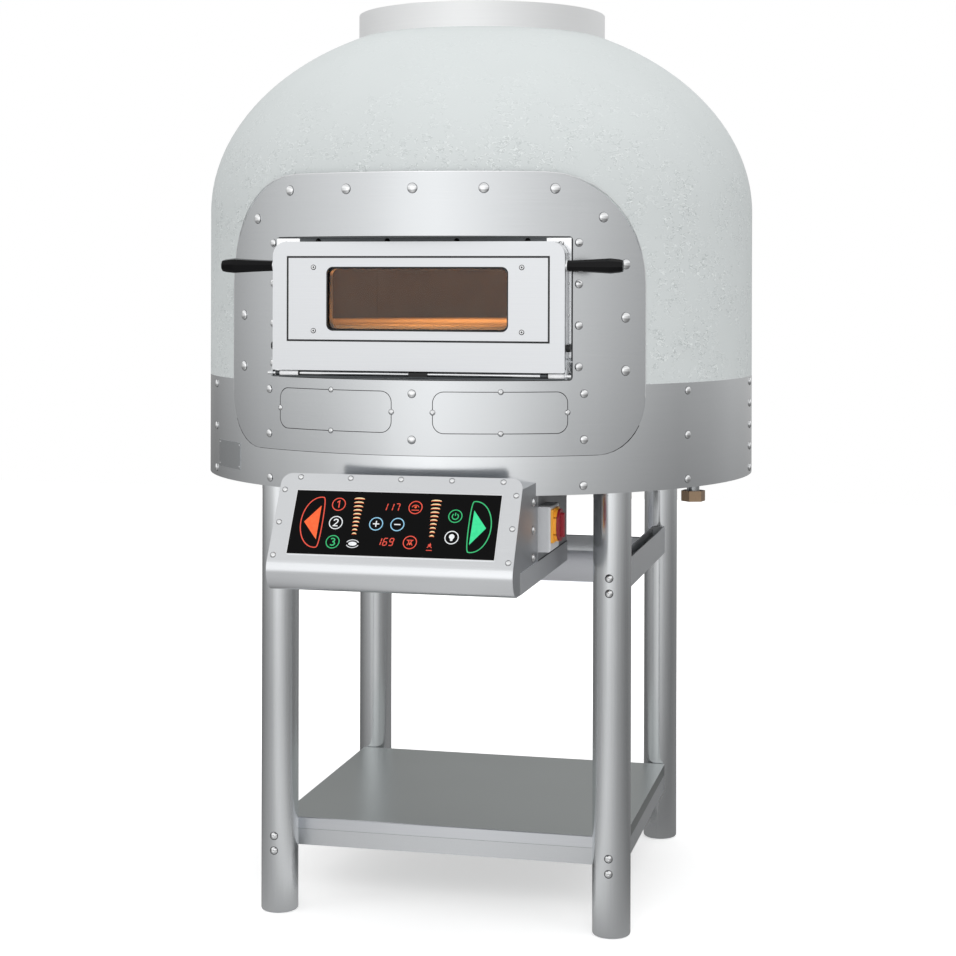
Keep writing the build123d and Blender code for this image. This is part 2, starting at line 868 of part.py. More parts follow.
# Bright side strips on the frame's plate
with BuildPart() as frame_strips:
    strip_foot = sill_z + sill_t + reveal
    strip_head = frame_head - return_t - reveal
    strip_in = throat_half + strip_gap
    strip_w = frame_half - reveal - strip_in
    with BuildSketch(front(frame_reach)):
        with Locations((strip_in + strip_w / 2, (strip_foot + strip_head) / 2)):
            Rectangle(strip_w, strip_head - strip_foot)
    extrude(amount=strip_t)
    mirror(about=Plane.YZ)
frame_strips.part.label = "frame_strips"
export_step(frame_strips.part, "parts/frame_strips.step")

# Cast liner of the throat, saddled to the hearth ring and trimmed to the chamber wall
liner_half = throat_half + liner_wall
liner_head = throat_head + liner_wall
liner_foot = hearth_top - deck_t
with BuildPart() as mouth_liner:
    with BuildSketch(front(frame_back - seat)):
        with Locations((0, (liner_foot + liner_head) / 2)):
            Rectangle(2 * liner_half, liner_head - liner_foot)
        with Locations((0, (hearth_top + throat_head) / 2)):
            Rectangle(2 * throat_half, throat_head - hearth_top, mode=Mode.SUBTRACT)
    extrude(amount=-frame_back)
    with BuildSketch(level(liner_foot)):
        Circle(chamber_r)
        with Locations((0, band_r)):
            Rectangle(2 * band_r, 2 * band_r)
    extrude(amount=liner_head - liner_foot, mode=Mode.SUBTRACT)
    with BuildSketch(level(liner_foot)):
        Circle(block_r + seat)
    extrude(amount=hearth_top + seat - liner_foot, mode=Mode.SUBTRACT)
mouth_liner.part.label = "mouth_liner"
export_step(mouth_liner.part, "parts/mouth_liner.step")

# Rendered outer shell, open at the mouth and under the flue collar
with BuildPart() as plaster_shell:
    with BuildSketch(radial(0)):
        dome_outline(band_r, dome_rise, spring_z, band_head)
        dome_outline(
            band_r - plaster_t, dome_rise - plaster_t, spring_z, band_head, mode=Mode.SUBTRACT
        )
        with Locations((0, spring_z)):
            Rectangle(2 * (collar_r + seat), 4 * dome_rise, mode=Mode.SUBTRACT)
    revolve(axis=dome_axis)
    with BuildSketch(front(frame_back - frame_depth)):
        with Locations((0, (mouth_sill + mouth_head) / 2)):
            Rectangle(2 * mouth_half, mouth_head - mouth_sill)
    extrude(amount=band_r, mode=Mode.SUBTRACT)
plaster_shell.part.label = "plaster_shell"
export_step(plaster_shell.part, "parts/plaster_shell.step")

# Mineral wool between the shell and the refractory blocks
with BuildPart() as dome_insulation:
    with BuildSketch(radial(0)):
        dome_outline(
            band_r - plaster_t - seat, dome_rise - plaster_t - seat, spring_z, band_head
        )
        dome_outline(
            block_r + seat, block_rise + seat, chamber_spring, band_head, mode=Mode.SUBTRACT
        )
        with Locations((0, spring_z)):
            Rectangle(2 * (flue_bore_r + flue_t + seat), 4 * dome_rise, mode=Mode.SUBTRACT)
        with Locations((0, collar_foot + dome_rise)):
            Rectangle(2 * (collar_r + seat), 2 * dome_rise, mode=Mode.SUBTRACT)
    revolve(axis=dome_axis)
    with BuildSketch(front(frame_back - frame_depth)):
        with Locations((0, (mouth_sill + mouth_head) / 2)):
            Rectangle(2 * mouth_half, mouth_head - mouth_sill)
    extrude(amount=band_r, mode=Mode.SUBTRACT)
    with BuildSketch(front(0)):
        with Locations((0, (liner_foot + liner_head) / 2)):
            Rectangle(2 * (liner_half + seat), liner_head - liner_foot + 2 * seat)
    extrude(amount=band_r, mode=Mode.SUBTRACT)
    drill(spoke(lamp_turn, band_r, lamp_z), lamp_r + seat, band_r)
    drill(spoke(probe_turn, band_r, probe_z), probe_head_r + seat, band_r)
dome_insulation.part.label = "dome_insulation"
export_step(dome_insulation.part, "parts/dome_insulation.step")

# Four precast refractory blocks that make the chamber
joint_turn = degrees(block_joint / chamber_r)
for name, start in (
    ("dome_block_front", -45),
    ("dome_block_right", 45),
    ("dome_block_back", 135),
    ("dome_block_left", 225),
):
    with BuildPart() as dome_block:
        with BuildSketch(radial(start + joint_turn / 2)):
            dome_outline(block_r, block_rise, chamber_spring, hearth_top)
            dome_outline(
                chamber_r, chamber_rise, chamber_spring, hearth_top, mode=Mode.SUBTRACT
            )
            with Locations((0, chamber_spring)):
                Rectangle(2 * (flue_bore_r + flue_t + seat), 4 * dome_rise, mode=Mode.SUBTRACT)
        revolve(axis=dome_axis, revolution_arc=90 - joint_turn)
        if name == "dome_block_front":
            with BuildSketch(front(0)):
                with Locations((0, (liner_foot + liner_head) / 2)):
                    Rectangle(2 * (liner_half + seat), liner_head - liner_foot + 2 * seat)
            extrude(amount=band_r, mode=Mode.SUBTRACT)
        if name == "dome_block_right":
            drill(spoke(lamp_turn, band_r, lamp_z), lamp_r + seat, band_r)
        if name == "dome_block_back":
            drill(spoke(probe_turn, band_r, probe_z), probe_r + seat, band_r)
    dome_block.part.label = name
    export_step(dome_block.part, f"parts/{name}.step")

# Fixed refractory ring round the deck, flat behind the mouth, slotted for the flame bar
with BuildPart() as hearth_ring:
    with BuildSketch(level(bed_z)):
        ring(block_r, deck_r + deck_gap)
        with Locations((0, seat - frame_back - band_r)):
            Rectangle(2 * band_r, 2 * band_r, mode=Mode.SUBTRACT)
    extrude(amount=hearth_t)
    with BuildSketch(radial(270 - flame_bar_turn / 2 - joint_turn)):
        with Locations((flame_bar_r, hearth_top)):
            Rectangle(flame_bar_w + 2 * seat, 4 * hearth_t)
    revolve(
        axis=dome_axis, revolution_arc=flame_bar_turn + 2 * joint_turn, mode=Mode.SUBTRACT
    )
hearth_ring.part.label = "hearth_ring"
export_step(hearth_ring.part, "parts/hearth_ring.step")

# Flue collar on the dome, with a sunk lid round the flue
with BuildPart() as flue_collar:
    with BuildSketch(level(collar_foot)):
        ring(collar_r, collar_r - collar_t)
    extrude(amount=collar_head - collar_foot)
    with BuildSketch(level(collar_head - collar_lid_drop)):
        ring(collar_r, flue_bore_r + flue_t + slip)
    extrude(amount=-collar_t)
flue_collar.part.label = "flue_collar"
export_step(flue_collar.part, "parts/flue_collar.step")

with BuildPart() as flue_pipe:
    with BuildSketch(level(flue_foot)):
        ring(flue_bore_r + flue_t, flue_bore_r)
    extrude(amount=collar_head - flue_foot)
flue_pipe.part.label = "flue_pipe"
export_step(flue_pipe.part, "parts/flue_pipe.step")

# Turning deck: stone, cast turntable with shaft and ribs, drive gear under its hub
with BuildPart() as deck_stone:
    with BuildSketch(level(deck_foot)):
        Circle(deck_r)
    extrude(amount=deck_t)
    chamfer(deck_stone.edges().sort_by(Axis.Z)[-1], deck_edge)
deck_stone.part.label = "deck_stone"
export_step(deck_stone.part, "parts/deck_stone.step")

with BuildPart() as turntable:
    with BuildSketch(level(disc_foot)):
        Circle(deck_r - disc_inset)
    extrude(amount=disc_t)
    with BuildSketch(level(hub_foot)):
        Circle(hub_r)
    extrude(amount=rib_h)
    with BuildSketch(level(disc_foot)):
        with PolarLocations((deck_r - disc_inset) / 2, rib_count):
            Rectangle(deck_r - disc_inset - rib_t, rib_t)
    extrude(amount=-rib_h, taper=4)
    with BuildSketch(level(hub_foot)):
        Circle(shaft_r)
    extrude(amount=-(hub_foot - drum_floor - housing_flange_t))
turntable.part.label = "turntable"
export_step(turntable.part, "parts/turntable.step")


def gear_points(teeth, first_turn):
    pressure = radians(20)
    pitch_r = gear_module * teeth / 2
    base_r = pitch_r * cos(pressure)
    root_r = pitch_r - 1.25 * gear_module
    tip_r = pitch_r + 0.9 * gear_module
    start_r = max(base_r, root_r)
    half = pi / (2 * teeth) - gear_play / (2 * pitch_r) + tan(pressure) - pressure
    steps = 4
    flank = []
    for step in range(steps):
        r = start_r + (tip_r - start_r) * step / (steps - 1)
        roll = acos(min(1, base_r / r))
        flank.append((r, half - tan(roll) + roll))
    if base_r > root_r:
        flank.insert(0, (root_r, flank[0][1]))
    tooth = [(r, -turn) for r, turn in flank] + flank[::-1]
    points = []
    for index in range(teeth):
        middle = radians(first_turn) + 2 * pi * index / teeth
        points += [(r * cos(middle + turn), r * sin(middle + turn)) for r, turn in tooth]
    return points


with BuildPart() as drive_gear:
    with BuildSketch(level(gear_foot)):
        with BuildLine():
            Polyline(*gear_points(gear_teeth, 0), close=True)
        make_face()
        Circle(shaft_r + slip, mode=Mode.SUBTRACT)
        with PolarLocations((gear_r + shaft_r) / 2 + gear_module, gear_holes):
            Circle(gear_hole_r, mode=Mode.SUBTRACT)
    extrude(amount=gear_t)
drive_gear.part.label = "drive_gear"
export_step(drive_gear.part, "parts/drive_gear.step")

# Pinion behind the gear, turned so that one of its gaps faces a tooth of the gear
pinion_foot = gear_foot - reveal
with BuildPart() as pinion:
    with BuildSketch(Plane((0, dome_y + pinion_y, pinion_foot))):
        with BuildLine():
            Polyline(*gear_points(pinion_teeth, 270 + 180 / pinion_teeth), close=True)
        make_face()
    extrude(amount=gear_t)
    with BuildSketch(Plane((0, dome_y + pinion_y, pinion_foot))):
        Circle(motor_shaft_r)
    extrude(amount=-(gearbox_drop + gearbox_h / 2))
pinion.part.label = "pinion"
export_step(pinion.part, "parts/pinion.step")

# Bearing housing on the base plate, with two bushes and a thrust washer
washer_foot = gear_foot - washer_t
with BuildPart() as bearing_housing:
    with BuildSketch(level(drum_floor)):
        Circle(housing_flange_r)
        with PolarLocations((housing_flange_r + housing_r) / 2, 4, start_angle=45):
            Circle(m8_r + slip, mode=Mode.SUBTRACT)
    extrude(amount=housing_flange_t)
    with BuildSketch(level(drum_floor + housing_flange_t)):
        ring(housing_r, bush_r + slip)
    extrude(amount=washer_foot - drum_floor - housing_flange_t)
bearing_housing.part.label = "bearing_housing"
export_step(bearing_housing.part, "parts/bearing_housing.step")

with BuildPart() as shaft_bushes:
    with BuildSketch(level(drum_floor + housing_flange_t), level(washer_foot - bush_h)):
        ring(bush_r, shaft_r + slip)
    extrude(amount=bush_h)
    with BuildSketch(level(washer_foot)):
        ring(housing_r, shaft_r + slip)
    extrude(amount=washer_t)
shaft_bushes.part.label = "shaft_bushes"
export_step(shaft_bushes.part, "parts/shaft_bushes.step")

# Gearmotor on four posts, with its output under the pinion
gearbox_head = pinion_foot - gearbox_drop
bore_head = gearbox_head - gearbox_h / 2 - motor_shaft_gap
with BuildPart() as gearmotor:
    with BuildSketch(Plane((0, dome_y + pinion_y, gearbox_head))):
        RectangleRounded(gearbox_w, gearbox_d, gearbox_round)
        Circle(motor_shaft_r + slip, mode=Mode.SUBTRACT)
    extrude(amount=-gearbox_h)
    with BuildSketch(Plane((0, dome_y + pinion_y, bore_head))):
        Circle(motor_shaft_r + motor_shaft_gap)
    extrude(amount=gearbox_head - gearbox_h + motor_shaft_gap - bore_head)
    with BuildSketch(Plane((0, dome_y + pinion_y, gearbox_head - gearbox_h))):
        Circle(motor_r)
    extrude(amount=-motor_h)
    with BuildSketch(Plane((0, dome_y + pinion_y, drum_floor))):
        with GridLocations(gearbox_w - 4 * motor_post_r, gearbox_d - 4 * motor_post_r, 2, 2):
            Circle(motor_post_r)
    extrude(amount=gearbox_head - gearbox_h - drum_floor)
gearmotor.part.label = "gearmotor"
export_step(gearmotor.part, "parts/gearmotor.step")

# Brass inlet nut under the base plate
pipe_bore_r = gas_pipe_r - gas_pipe_wall
with BuildPart() as inlet_nut:
    with BuildSketch(level(nut_z)):
        with Locations((gas_x, 0)):
            RegularPolygon(nut_flats / 2, 6, major_radius=False, rotation=nut_turn)
            Circle(pipe_bore_r, mode=Mode.SUBTRACT)
    extrude(amount=nut_h)
    with BuildSketch(level(nut_z)):
        with Locations((gas_x, 0)):
            Circle(nut_bore_r)
    extrude(amount=nut_bore_depth, mode=Mode.SUBTRACT)
inlet_nut.part.label = "inlet_nut"
export_step(inlet_nut.part, "parts/inlet_nut.step")

# Gas pipe: riser, arm to the deck burner, and a run round the back to the flame bar
with BuildPart() as gas_pipe:
    for bore, mode in ((gas_pipe_r, Mode.ADD), (pipe_bore_r, Mode.SUBTRACT)):
        wall = gas_pipe_r - bore
        with BuildSketch(level(nut_z + nut_h)):
            with Locations((gas_x, 0)):
                Circle(bore)
        extrude(amount=burner_z + bore - nut_z - nut_h, mode=mode)
        with BuildSketch(side(gas_x)):
            with Locations((0, burner_z)):
                Circle(bore)
        extrude(amount=burner_r + burner_tube_r - gas_x, mode=mode)
        with BuildSketch(radial(90)):
            with Locations((gas_x, manifold_z)):
                Circle(bore)
        revolve(axis=dome_axis, revolution_arc=180, mode=mode)
        with BuildSketch(level(manifold_z - bore)):
            with Locations((-gas_x, 0)):
                Circle(bore)
        extrude(amount=plenum_z - manifold_z + bore, mode=mode)
gas_pipe.part.label = "gas_pipe"
export_step(gas_pipe.part, "parts/gas_pipe.step")

# Deck burner, a bent tube with ports, on three posts
with BuildPart() as deck_burner:
    with BuildSketch(radial(180 - burner_turn / 2)):
        with Locations((burner_r, burner_z)):
            Circle(burner_tube_r)
    revolve(axis=dome_axis, revolution_arc=burner_turn)
    for post in range(burner_posts):
        turn = 180 + (post - (burner_posts - 1) / 2) * burner_turn / burner_posts
        with BuildSketch(level(drum_floor)):
            with Locations((burner_r * sin(radians(turn)), -burner_r * cos(radians(turn)))):
                Circle(post_r)
        extrude(amount=burner_z - drum_floor)
    for port in range(port_count):
        turn = 180 + (port / (port_count - 1) - 0.5) * burner_port_turn
        with BuildSketch(level(burner_z)):
            with Locations((burner_r * sin(radians(turn)), -burner_r * cos(radians(turn)))):
                Circle(port_r)
        extrude(amount=2 * burner_tube_r, mode=Mode.SUBTRACT)
deck_burner.part.label = "deck_burner"
export_step(deck_burner.part, "parts/deck_burner.step")

# Flame bar at the left of the deck, in the slot of the hearth ring, over its plenum
with BuildPart() as flame_bar:
    with BuildSketch(radial(270 - flame_bar_turn / 2)):
        with Locations((flame_bar_r, (plenum_z + hearth_top) / 2)):
            Rectangle(flame_bar_w, hearth_top - plenum_z)
        with Locations((gas_x, plenum_z + plenum_h / 2)):
            Rectangle(plenum_w, plenum_h)
    revolve(axis=dome_axis, revolution_arc=flame_bar_turn)
    for port in range(flame_port_count):
        turn = 270 + (port - (flame_port_count - 1) / 2) * flame_bar_turn / flame_port_count
        with BuildSketch(level(hearth_top)):
            with Locations((flame_bar_r * sin(radians(turn)), -flame_bar_r * cos(radians(turn)))):
                Circle(port_r)
        extrude(amount=-plenum_h, mode=Mode.SUBTRACT)
flame_bar.part.label = "flame_bar"
export_step(flame_bar.part, "parts/flame_bar.step")

# Lamp in the chamber wall: housing and lens
with BuildPart() as chamber_lamp:
    with BuildSketch(spoke(lamp_turn, lamp_in, lamp_z)):
        Circle(lamp_r)
    extrude(amount=lamp_out - lamp_in)
    with BuildSketch(spoke(lamp_turn, lamp_in - lens_t, lamp_z)):
        Circle(lamp_r)
    extrude(amount=lens_t - slip)
chamber_lamp.part.label = "chamber_lamp"
export_step(chamber_lamp.part, "parts/chamber_lamp.step")

# Temperature probe through the back block
with BuildPart() as dome_probe:
    with BuildSketch(spoke(probe_turn, probe_in, probe_z)):
        Circle(probe_r)
    extrude(amount=probe_out - probe_in)
    with BuildSketch(spoke(probe_turn, block_r + reveal, probe_z)):
        Circle(probe_head_r)
    extrude(amount=probe_out - block_r - reveal)
dome_probe.part.label = "dome_probe"
export_step(dome_probe.part, "parts/dome_probe.step")

# Door leaf with the wells for its panel and panes
well_half = window_half - well_inset
well_h = window_h - 2 * well_inset
glass_half = window_half + glass_lap
glass_h = window_h + 2 * glass_lap
with BuildPart() as door_leaf:
    with BuildSketch(front(leaf_back)):
        with Locations((0, leaf_centre_z)):
            Rectangle(2 * leaf_half, leaf_h)
    extrude(amount=leaf_t)
    fillet(door_leaf.edges().filter_by(Axis.Y).group_by(Axis.Z)[-1], leaf_top_round)
    fillet(door_leaf.edges().filter_by(Axis.Y).group_by(Axis.Z)[0], leaf_foot_round)
    with BuildSketch(front(leaf_back + leaf_t)):
        with Locations((0, panel_centre_z)):
            Rectangle(2 * (panel_half + groove_w), panel_h + 2 * groove_w)
    extrude(amount=-panel_t, mode=Mode.SUBTRACT)
    with BuildSketch(front(leaf_back + leaf_t - panel_t)):
        with Locations((0, panel_centre_z)):
            RectangleRounded(2 * (glass_half + reveal), glass_h + 2 * reveal, window_round)
    extrude(amount=-glass_t, mode=Mode.SUBTRACT)
    with BuildSketch(front(leaf_back)):
        with Locations((0, panel_centre_z)):
            RectangleRounded(2 * (glass_half + reveal), glass_h + 2 * reveal, window_round)
    extrude(amount=glass_t, mode=Mode.SUBTRACT)
    with BuildSketch(front(leaf_back)):
        with Locations((0, panel_centre_z)):
            RectangleRounded(2 * well_half, well_h, window_round)
    extrude(amount=leaf_t, mode=Mode.SUBTRACT)
door_leaf.part.label = "door_leaf"
export_step(door_leaf.part, "parts/door_leaf.step")

with BuildPart() as door_panel:
    with BuildSketch(front(leaf_back + leaf_t - panel_t)):
        with Locations((0, panel_centre_z)):
            Rectangle(2 * panel_half, panel_h)
            RectangleRounded(2 * window_half, window_h, window_round, mode=Mode.SUBTRACT)
    extrude(amount=panel_t)
door_panel.part.label = "door_panel"
export_step(door_panel.part, "parts/door_panel.step")

with BuildPart() as door_glass:
    with BuildSketch(front(leaf_back), front(leaf_back + leaf_t - panel_t - glass_t)):
        with Locations((0, panel_centre_z)):
            RectangleRounded(2 * glass_half, glass_h, window_round - reveal)
    extrude(amount=glass_t)
door_glass.part.label = "door_glass"
export_step(door_glass.part, "parts/door_glass.step")

# Rope gasket on the back of the leaf, round the throat
gasket_foot = hearth_top - gasket_under
gasket_head = throat_head + gasket_over
with BuildPart() as door_gasket:
    with BuildSketch(front(frame_reach + reveal)):
        with Locations((0, (gasket_foot + gasket_head) / 2)):
            RectangleRounded(
                2 * (gasket_half + gasket_w),
                gasket_head - gasket_foot + 2 * gasket_w,
                gasket_w + gasket_round,
            )
            RectangleRounded(
                2 * gasket_half, gasket_head - gasket_foot, gasket_round, mode=Mode.SUBTRACT
            )
    extrude(amount=leaf_back - frame_reach - reveal)
door_gasket.part.label = "door_gasket"
export_step(door_gasket.part, "parts/door_gasket.step")

# Hinge: rod and arms on the leaf, barrels on a sill strip and a centre bearing on the frame
rod_half = leaf_half + arm_t + rod_end
sill_half = mouth_half - sill_in
sill_front = hinge_reach + sill_out
sill_back = frame_reach + sill_gap
barrel_out = sill_half - barrel_in
arm_top_reach = hinge_reach - arm_back
arm_top_z = hinge_z + arm_rise
with BuildPart() as hinge_rod:
    with BuildSketch(side(-rod_half)):
        with Locations((-hinge_reach, hinge_z)):
            Circle(rod_r)
    extrude(amount=2 * rod_half)
hinge_rod.part.label = "hinge_rod"
export_step(hinge_rod.part, "parts/hinge_rod.step")

with BuildPart() as hinge_arms:
    with BuildSketch(side(leaf_half)):
        with Locations((-hinge_reach, hinge_z), (-arm_top_reach, arm_top_z)):
            Circle(arm_r)
        make_hull()
        with Locations((-hinge_reach, hinge_z)):
            Circle(rod_r + slip, mode=Mode.SUBTRACT)
    extrude(amount=arm_t)
    with BuildSketch(side(leaf_half + arm_t)):
        with Locations((-arm_top_reach, arm_top_z)):
            Circle(arm_pin_r)
    extrude(amount=arm_pin)
    mirror(about=Plane.YZ)
hinge_arms.part.label = "hinge_arms"
export_step(hinge_arms.part, "parts/hinge_arms.step")

with BuildPart() as hinge_sill:
    with BuildSketch(level(sill_z)):
        with Locations((0, -(sill_front + sill_back) / 2)):
            Rectangle(2 * sill_half, sill_front - sill_back)
    extrude(amount=sill_t)
    with BuildSketch(side(barrel_out - barrel_w)):
        with Locations((-hinge_reach, hinge_z)):
            Circle(barrel_r)
    extrude(amount=barrel_w)
    mirror(about=Plane.YZ)
    with BuildSketch(side(-rod_half)):
        with Locations((-hinge_reach, hinge_z)):
            Circle(rod_r + slip)
    extrude(amount=2 * rod_half, mode=Mode.SUBTRACT)
hinge_sill.part.label = "hinge_sill"
export_step(hinge_sill.part, "parts/hinge_sill.step")

with BuildPart() as hinge_bearing:
    with BuildSketch(side(bearing_x - bearing_w / 2)):
        with Locations((-hinge_reach, hinge_z)):
            Circle(bearing_r)
        bearing_h = hinge_z - sill_z - sill_t
        bearing_back = frame_reach + bearing_gap
        with Locations((-(hinge_reach + bearing_r + bearing_back) / 2, hinge_z - bearing_h / 2)):
            Rectangle(hinge_reach + bearing_r - bearing_back, bearing_h)
        with Locations((-hinge_reach, sill_z + sill_t - bearing_r)):
            Rectangle(4 * bearing_r, 2 * bearing_r, mode=Mode.SUBTRACT)
        with Locations((-hinge_reach, hinge_z)):
            Circle(rod_r + slip, mode=Mode.SUBTRACT)
    extrude(amount=bearing_w)
hinge_bearing.part.label = "hinge_bearing"
export_step(hinge_bearing.part, "parts/hinge_bearing.step")

with BuildPart() as side_buffers:
    with BuildSketch(side(leaf_half)):
        with Locations((buffer_back - hinge_reach, hinge_z + buffer_rise)):
            Circle(buffer_r)
    extrude(amount=buffer_t)
    mirror(about=Plane.YZ)
side_buffers.part.label = "side_buffers"
export_step(side_buffers.part, "parts/side_buffers.step")

# Grips turned on a taper, on the sides of the leaf
grip_reach = leaf_back + leaf_t - grip_in
grip_z = leaf_head - grip_drop
with BuildPart() as door_grips:
    with BuildSketch(front_place(leaf_half, grip_reach, grip_z)):
        with BuildLine():
            Polyline(
                (0, 0),
                (0, grip_root_r),
                (grip_belly, grip_belly_r),
                (grip_length - grip_tip, grip_tip_r + grip_tip / 2),
                (grip_length, grip_tip_r),
                (grip_length, 0),
                close=True,
            )
        make_face()
    revolve(axis=Axis((leaf_half, dome_y - grip_reach, grip_z), (1, 0, 0)))
    mirror(about=Plane.YZ)
door_grips.part.label = "door_grips"
export_step(door_grips.part, "parts/door_grips.step")

# Control face, one sheet bent round the roll
with BuildPart() as control_face:
    with BuildSketch(side(-face_half)):
        with BuildLine():
            roll_foot = roll_z - roll_r
            Line(on_face(face_length, 0), on_face(0, 0))
            CenterArc((-roll_reach, roll_z), roll_r, 180 - panel_tilt, 90 + panel_tilt)
            Line((-roll_reach, roll_foot), (face_lip - roll_reach, roll_foot))
            Line((face_lip - roll_reach, roll_foot), (face_lip - roll_reach, roll_foot + face_t))
            Line((face_lip - roll_reach, roll_foot + face_t), (-roll_reach, roll_foot + face_t))
            CenterArc((-roll_reach, roll_z), roll_r - face_t, 180 - panel_tilt, 90 + panel_tilt)
            Line(on_face(0, -face_t), on_face(face_length, -face_t))
            Line(on_face(face_length, -face_t), on_face(face_length, 0))
        make_face()
    extrude(amount=2 * face_half)
    corners = control_face.edges().filter_by(Axis((0, 0, 0), (0, -cos(tilt), sin(tilt))))
    fillet(corners.sort_by(Axis.Z)[-2:], face_round)
control_face.part.label = "control_face"
export_step(control_face.part, "parts/control_face.step")

# Cowl behind the face: two cheeks and a top sheet, trimmed to the band
cowl_head = on_face(face_length - face_round, -face_t)
tray_reach = roll_reach - face_lip - seat
with BuildPart() as control_cowl:
    with BuildSketch(side(box_half)):
        with BuildLine():
            inner_foot = roll_z - roll_r + face_t
            Line(cowl_head, on_face(0, -face_t))
            CenterArc((-roll_reach, roll_z), roll_r - face_t, 180 - panel_tilt, 90 + panel_tilt)
            Polyline(
                (-roll_reach, inner_foot),
                (-tray_reach - 2 * seat, inner_foot),
                (-tray_reach - 2 * seat, box_foot),
                (-cowl_edge, box_foot),
                (-cowl_edge, cowl_head[1]),
                cowl_head,
            )
        make_face()
    extrude(amount=box_wall)
    mirror(about=Plane.YZ)
    with BuildSketch(level(cowl_head[1] - box_wall)):
        with Locations((0, (cowl_head[0] - cowl_edge) / 2)):
            Rectangle(2 * box_half, -cowl_head[0] - cowl_edge)
    extrude(amount=box_wall)
    with BuildSketch(level(base_z - seat)):
        Circle(band_r + reveal)
    extrude(amount=band_h, mode=Mode.SUBTRACT)
    for place in flange_places():
        drill(place, m8_r + slip, 2 * box_wall)
control_cowl.part.label = "control_cowl"
export_step(control_cowl.part, "parts/control_cowl.step")

# Control box under the base plate, open towards the face
with BuildPart() as control_box:
    with BuildSketch(level(box_foot)):
        with Locations((0, -(box_front + box_back) / 2)):
            Rectangle(2 * box_half, box_front - box_back)
    extrude(amount=base_z - box_foot)
    offset(amount=-box_wall, openings=control_box.faces().sort_by(Axis.Y)[0])
    drill(
        Plane((box_half, dome_y - isolator_reach, isolator_z), x_dir=(0, 1, 0), z_dir=(1, 0, 0)),
        knob_shaft_r + 2 * reveal,
        2 * box_wall,
    )
    for place in flange_places():
        drill(place, m8_r + slip, 3 * box_wall)
control_box.part.label = "control_box"
export_step(control_box.part, "parts/control_box.step")

# Tray under the box, with a tongue under the lip of the face
with BuildPart() as control_tray:
    control_tray_z = roll_foot - box_wall
    tray_h = box_foot - control_tray_z
    tray_half = box_half + box_wall
    with BuildSketch(front(tray_reach)):
        with Locations((0, control_tray_z + tray_h / 2)):
            Rectangle(2 * tray_half, tray_h)
            Rectangle(2 * box_half, tray_h - 2 * box_wall, mode=Mode.SUBTRACT)
        with Locations((0, box_foot)):
            Rectangle(2 * (box_half - control_tray_lip), 4 * box_wall, mode=Mode.SUBTRACT)
    extrude(amount=box_back - tray_reach)
    with BuildSketch(level(control_tray_z)):
        with Locations((0, -tray_reach - face_lip / 4)):
            Rectangle(2 * (box_half - seat), face_lip)
    extrude(amount=roll_foot - control_tray_z)
control_tray.part.label = "control_tray"
export_step(control_tray.part, "parts/control_tray.step")

with BuildPart() as touch_glass:
    with BuildSketch(face_plane):
        touch_h = face_length - touch_drop - touch_rise
        with Locations((0, touch_rise + touch_h / 2)):
            Rectangle(2 * touch_half, touch_h)
    extrude(amount=touch_t)
touch_glass.part.label = "touch_glass"
export_step(touch_glass.part, "parts/touch_glass.step")

# Isolator: enclosure on the box, base with boss and lock holes, turning knob
isolator_mid = (isolator_behind - isolator_ahead) / 2 - isolator_reach
with BuildPart() as isolator_box:
    with BuildSketch(side(box_half)):
        with Locations((isolator_mid, isolator_z + (isolator_over - isolator_under) / 2)):
            Rectangle(isolator_ahead + isolator_behind, isolator_over + isolator_under)
    extrude(amount=isolator_out)
    fillet(isolator_box.faces().sort_by(Axis.X)[-1].edges(), isolator_round)
    drill(
        Plane(
            (box_half + isolator_out, dome_y - isolator_reach, isolator_z),
            x_dir=(0, 1, 0),
            z_dir=(1, 0, 0),
        ),
        knob_shaft_r + 2 * reveal,
        isolator_out,
    )
isolator_box.part.label = "isolator_box"
export_step(isolator_box.part, "parts/isolator_box.step")

isolator_face = box_half + isolator_out
boss_face = isolator_face + isolator_plate_t + isolator_boss_t
with BuildPart() as isolator_base:
    with BuildSketch(side(isolator_face)):
        with Locations((-isolator_reach, isolator_z)):
            RectangleRounded(isolator_plate_w, isolator_plate_h, isolator_round)
    extrude(amount=isolator_plate_t)
    with BuildSketch(side(isolator_face)):
        with Locations((-isolator_reach, isolator_z)):
            Circle(isolator_boss_r)
    extrude(amount=isolator_plate_t + isolator_boss_t)
    with BuildSketch(side(boss_face)):
        with Locations((-isolator_reach, isolator_z)):
            Circle(knob_shaft_r + slip)
        with Locations(
            (-isolator_reach - lock_hole_out, isolator_z + lock_hole_rise),
            (-isolator_reach - lock_hole_out, isolator_z - lock_hole_rise),
        ):
            Circle(lock_hole_r)
    extrude(amount=-isolator_plate_t - isolator_boss_t, mode=Mode.SUBTRACT)
isolator_base.part.label = "isolator_base"
export_step(isolator_base.part, "parts/isolator_base.step")

with BuildPart() as isolator_knob:
    with BuildSketch(side(boss_face + reveal)):
        with Locations((-isolator_reach, isolator_z)):
            Circle(knob_r)
    extrude(amount=knob_t)
    with BuildSketch(side(boss_face + reveal + knob_t)):
        with Locations((-isolator_reach, isolator_z)):
            RectangleRounded(knob_bar_w, 2 * knob_r - knob_bar_w, knob_bar_w / 2 - 1)
    extrude(amount=knob_bar_t)
    with BuildSketch(side(boss_face + reveal)):
        with Locations((-isolator_reach, isolator_z)):
            Circle(knob_shaft_r)
    extrude(amount=-knob_shaft - reveal)
isolator_knob.part.label = "isolator_knob"
export_step(isolator_knob.part, "parts/isolator_knob.step")
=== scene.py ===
import bpy
import bmesh
from math import cos, pi, radians, sin, sqrt
from mathutils import Matrix, Vector


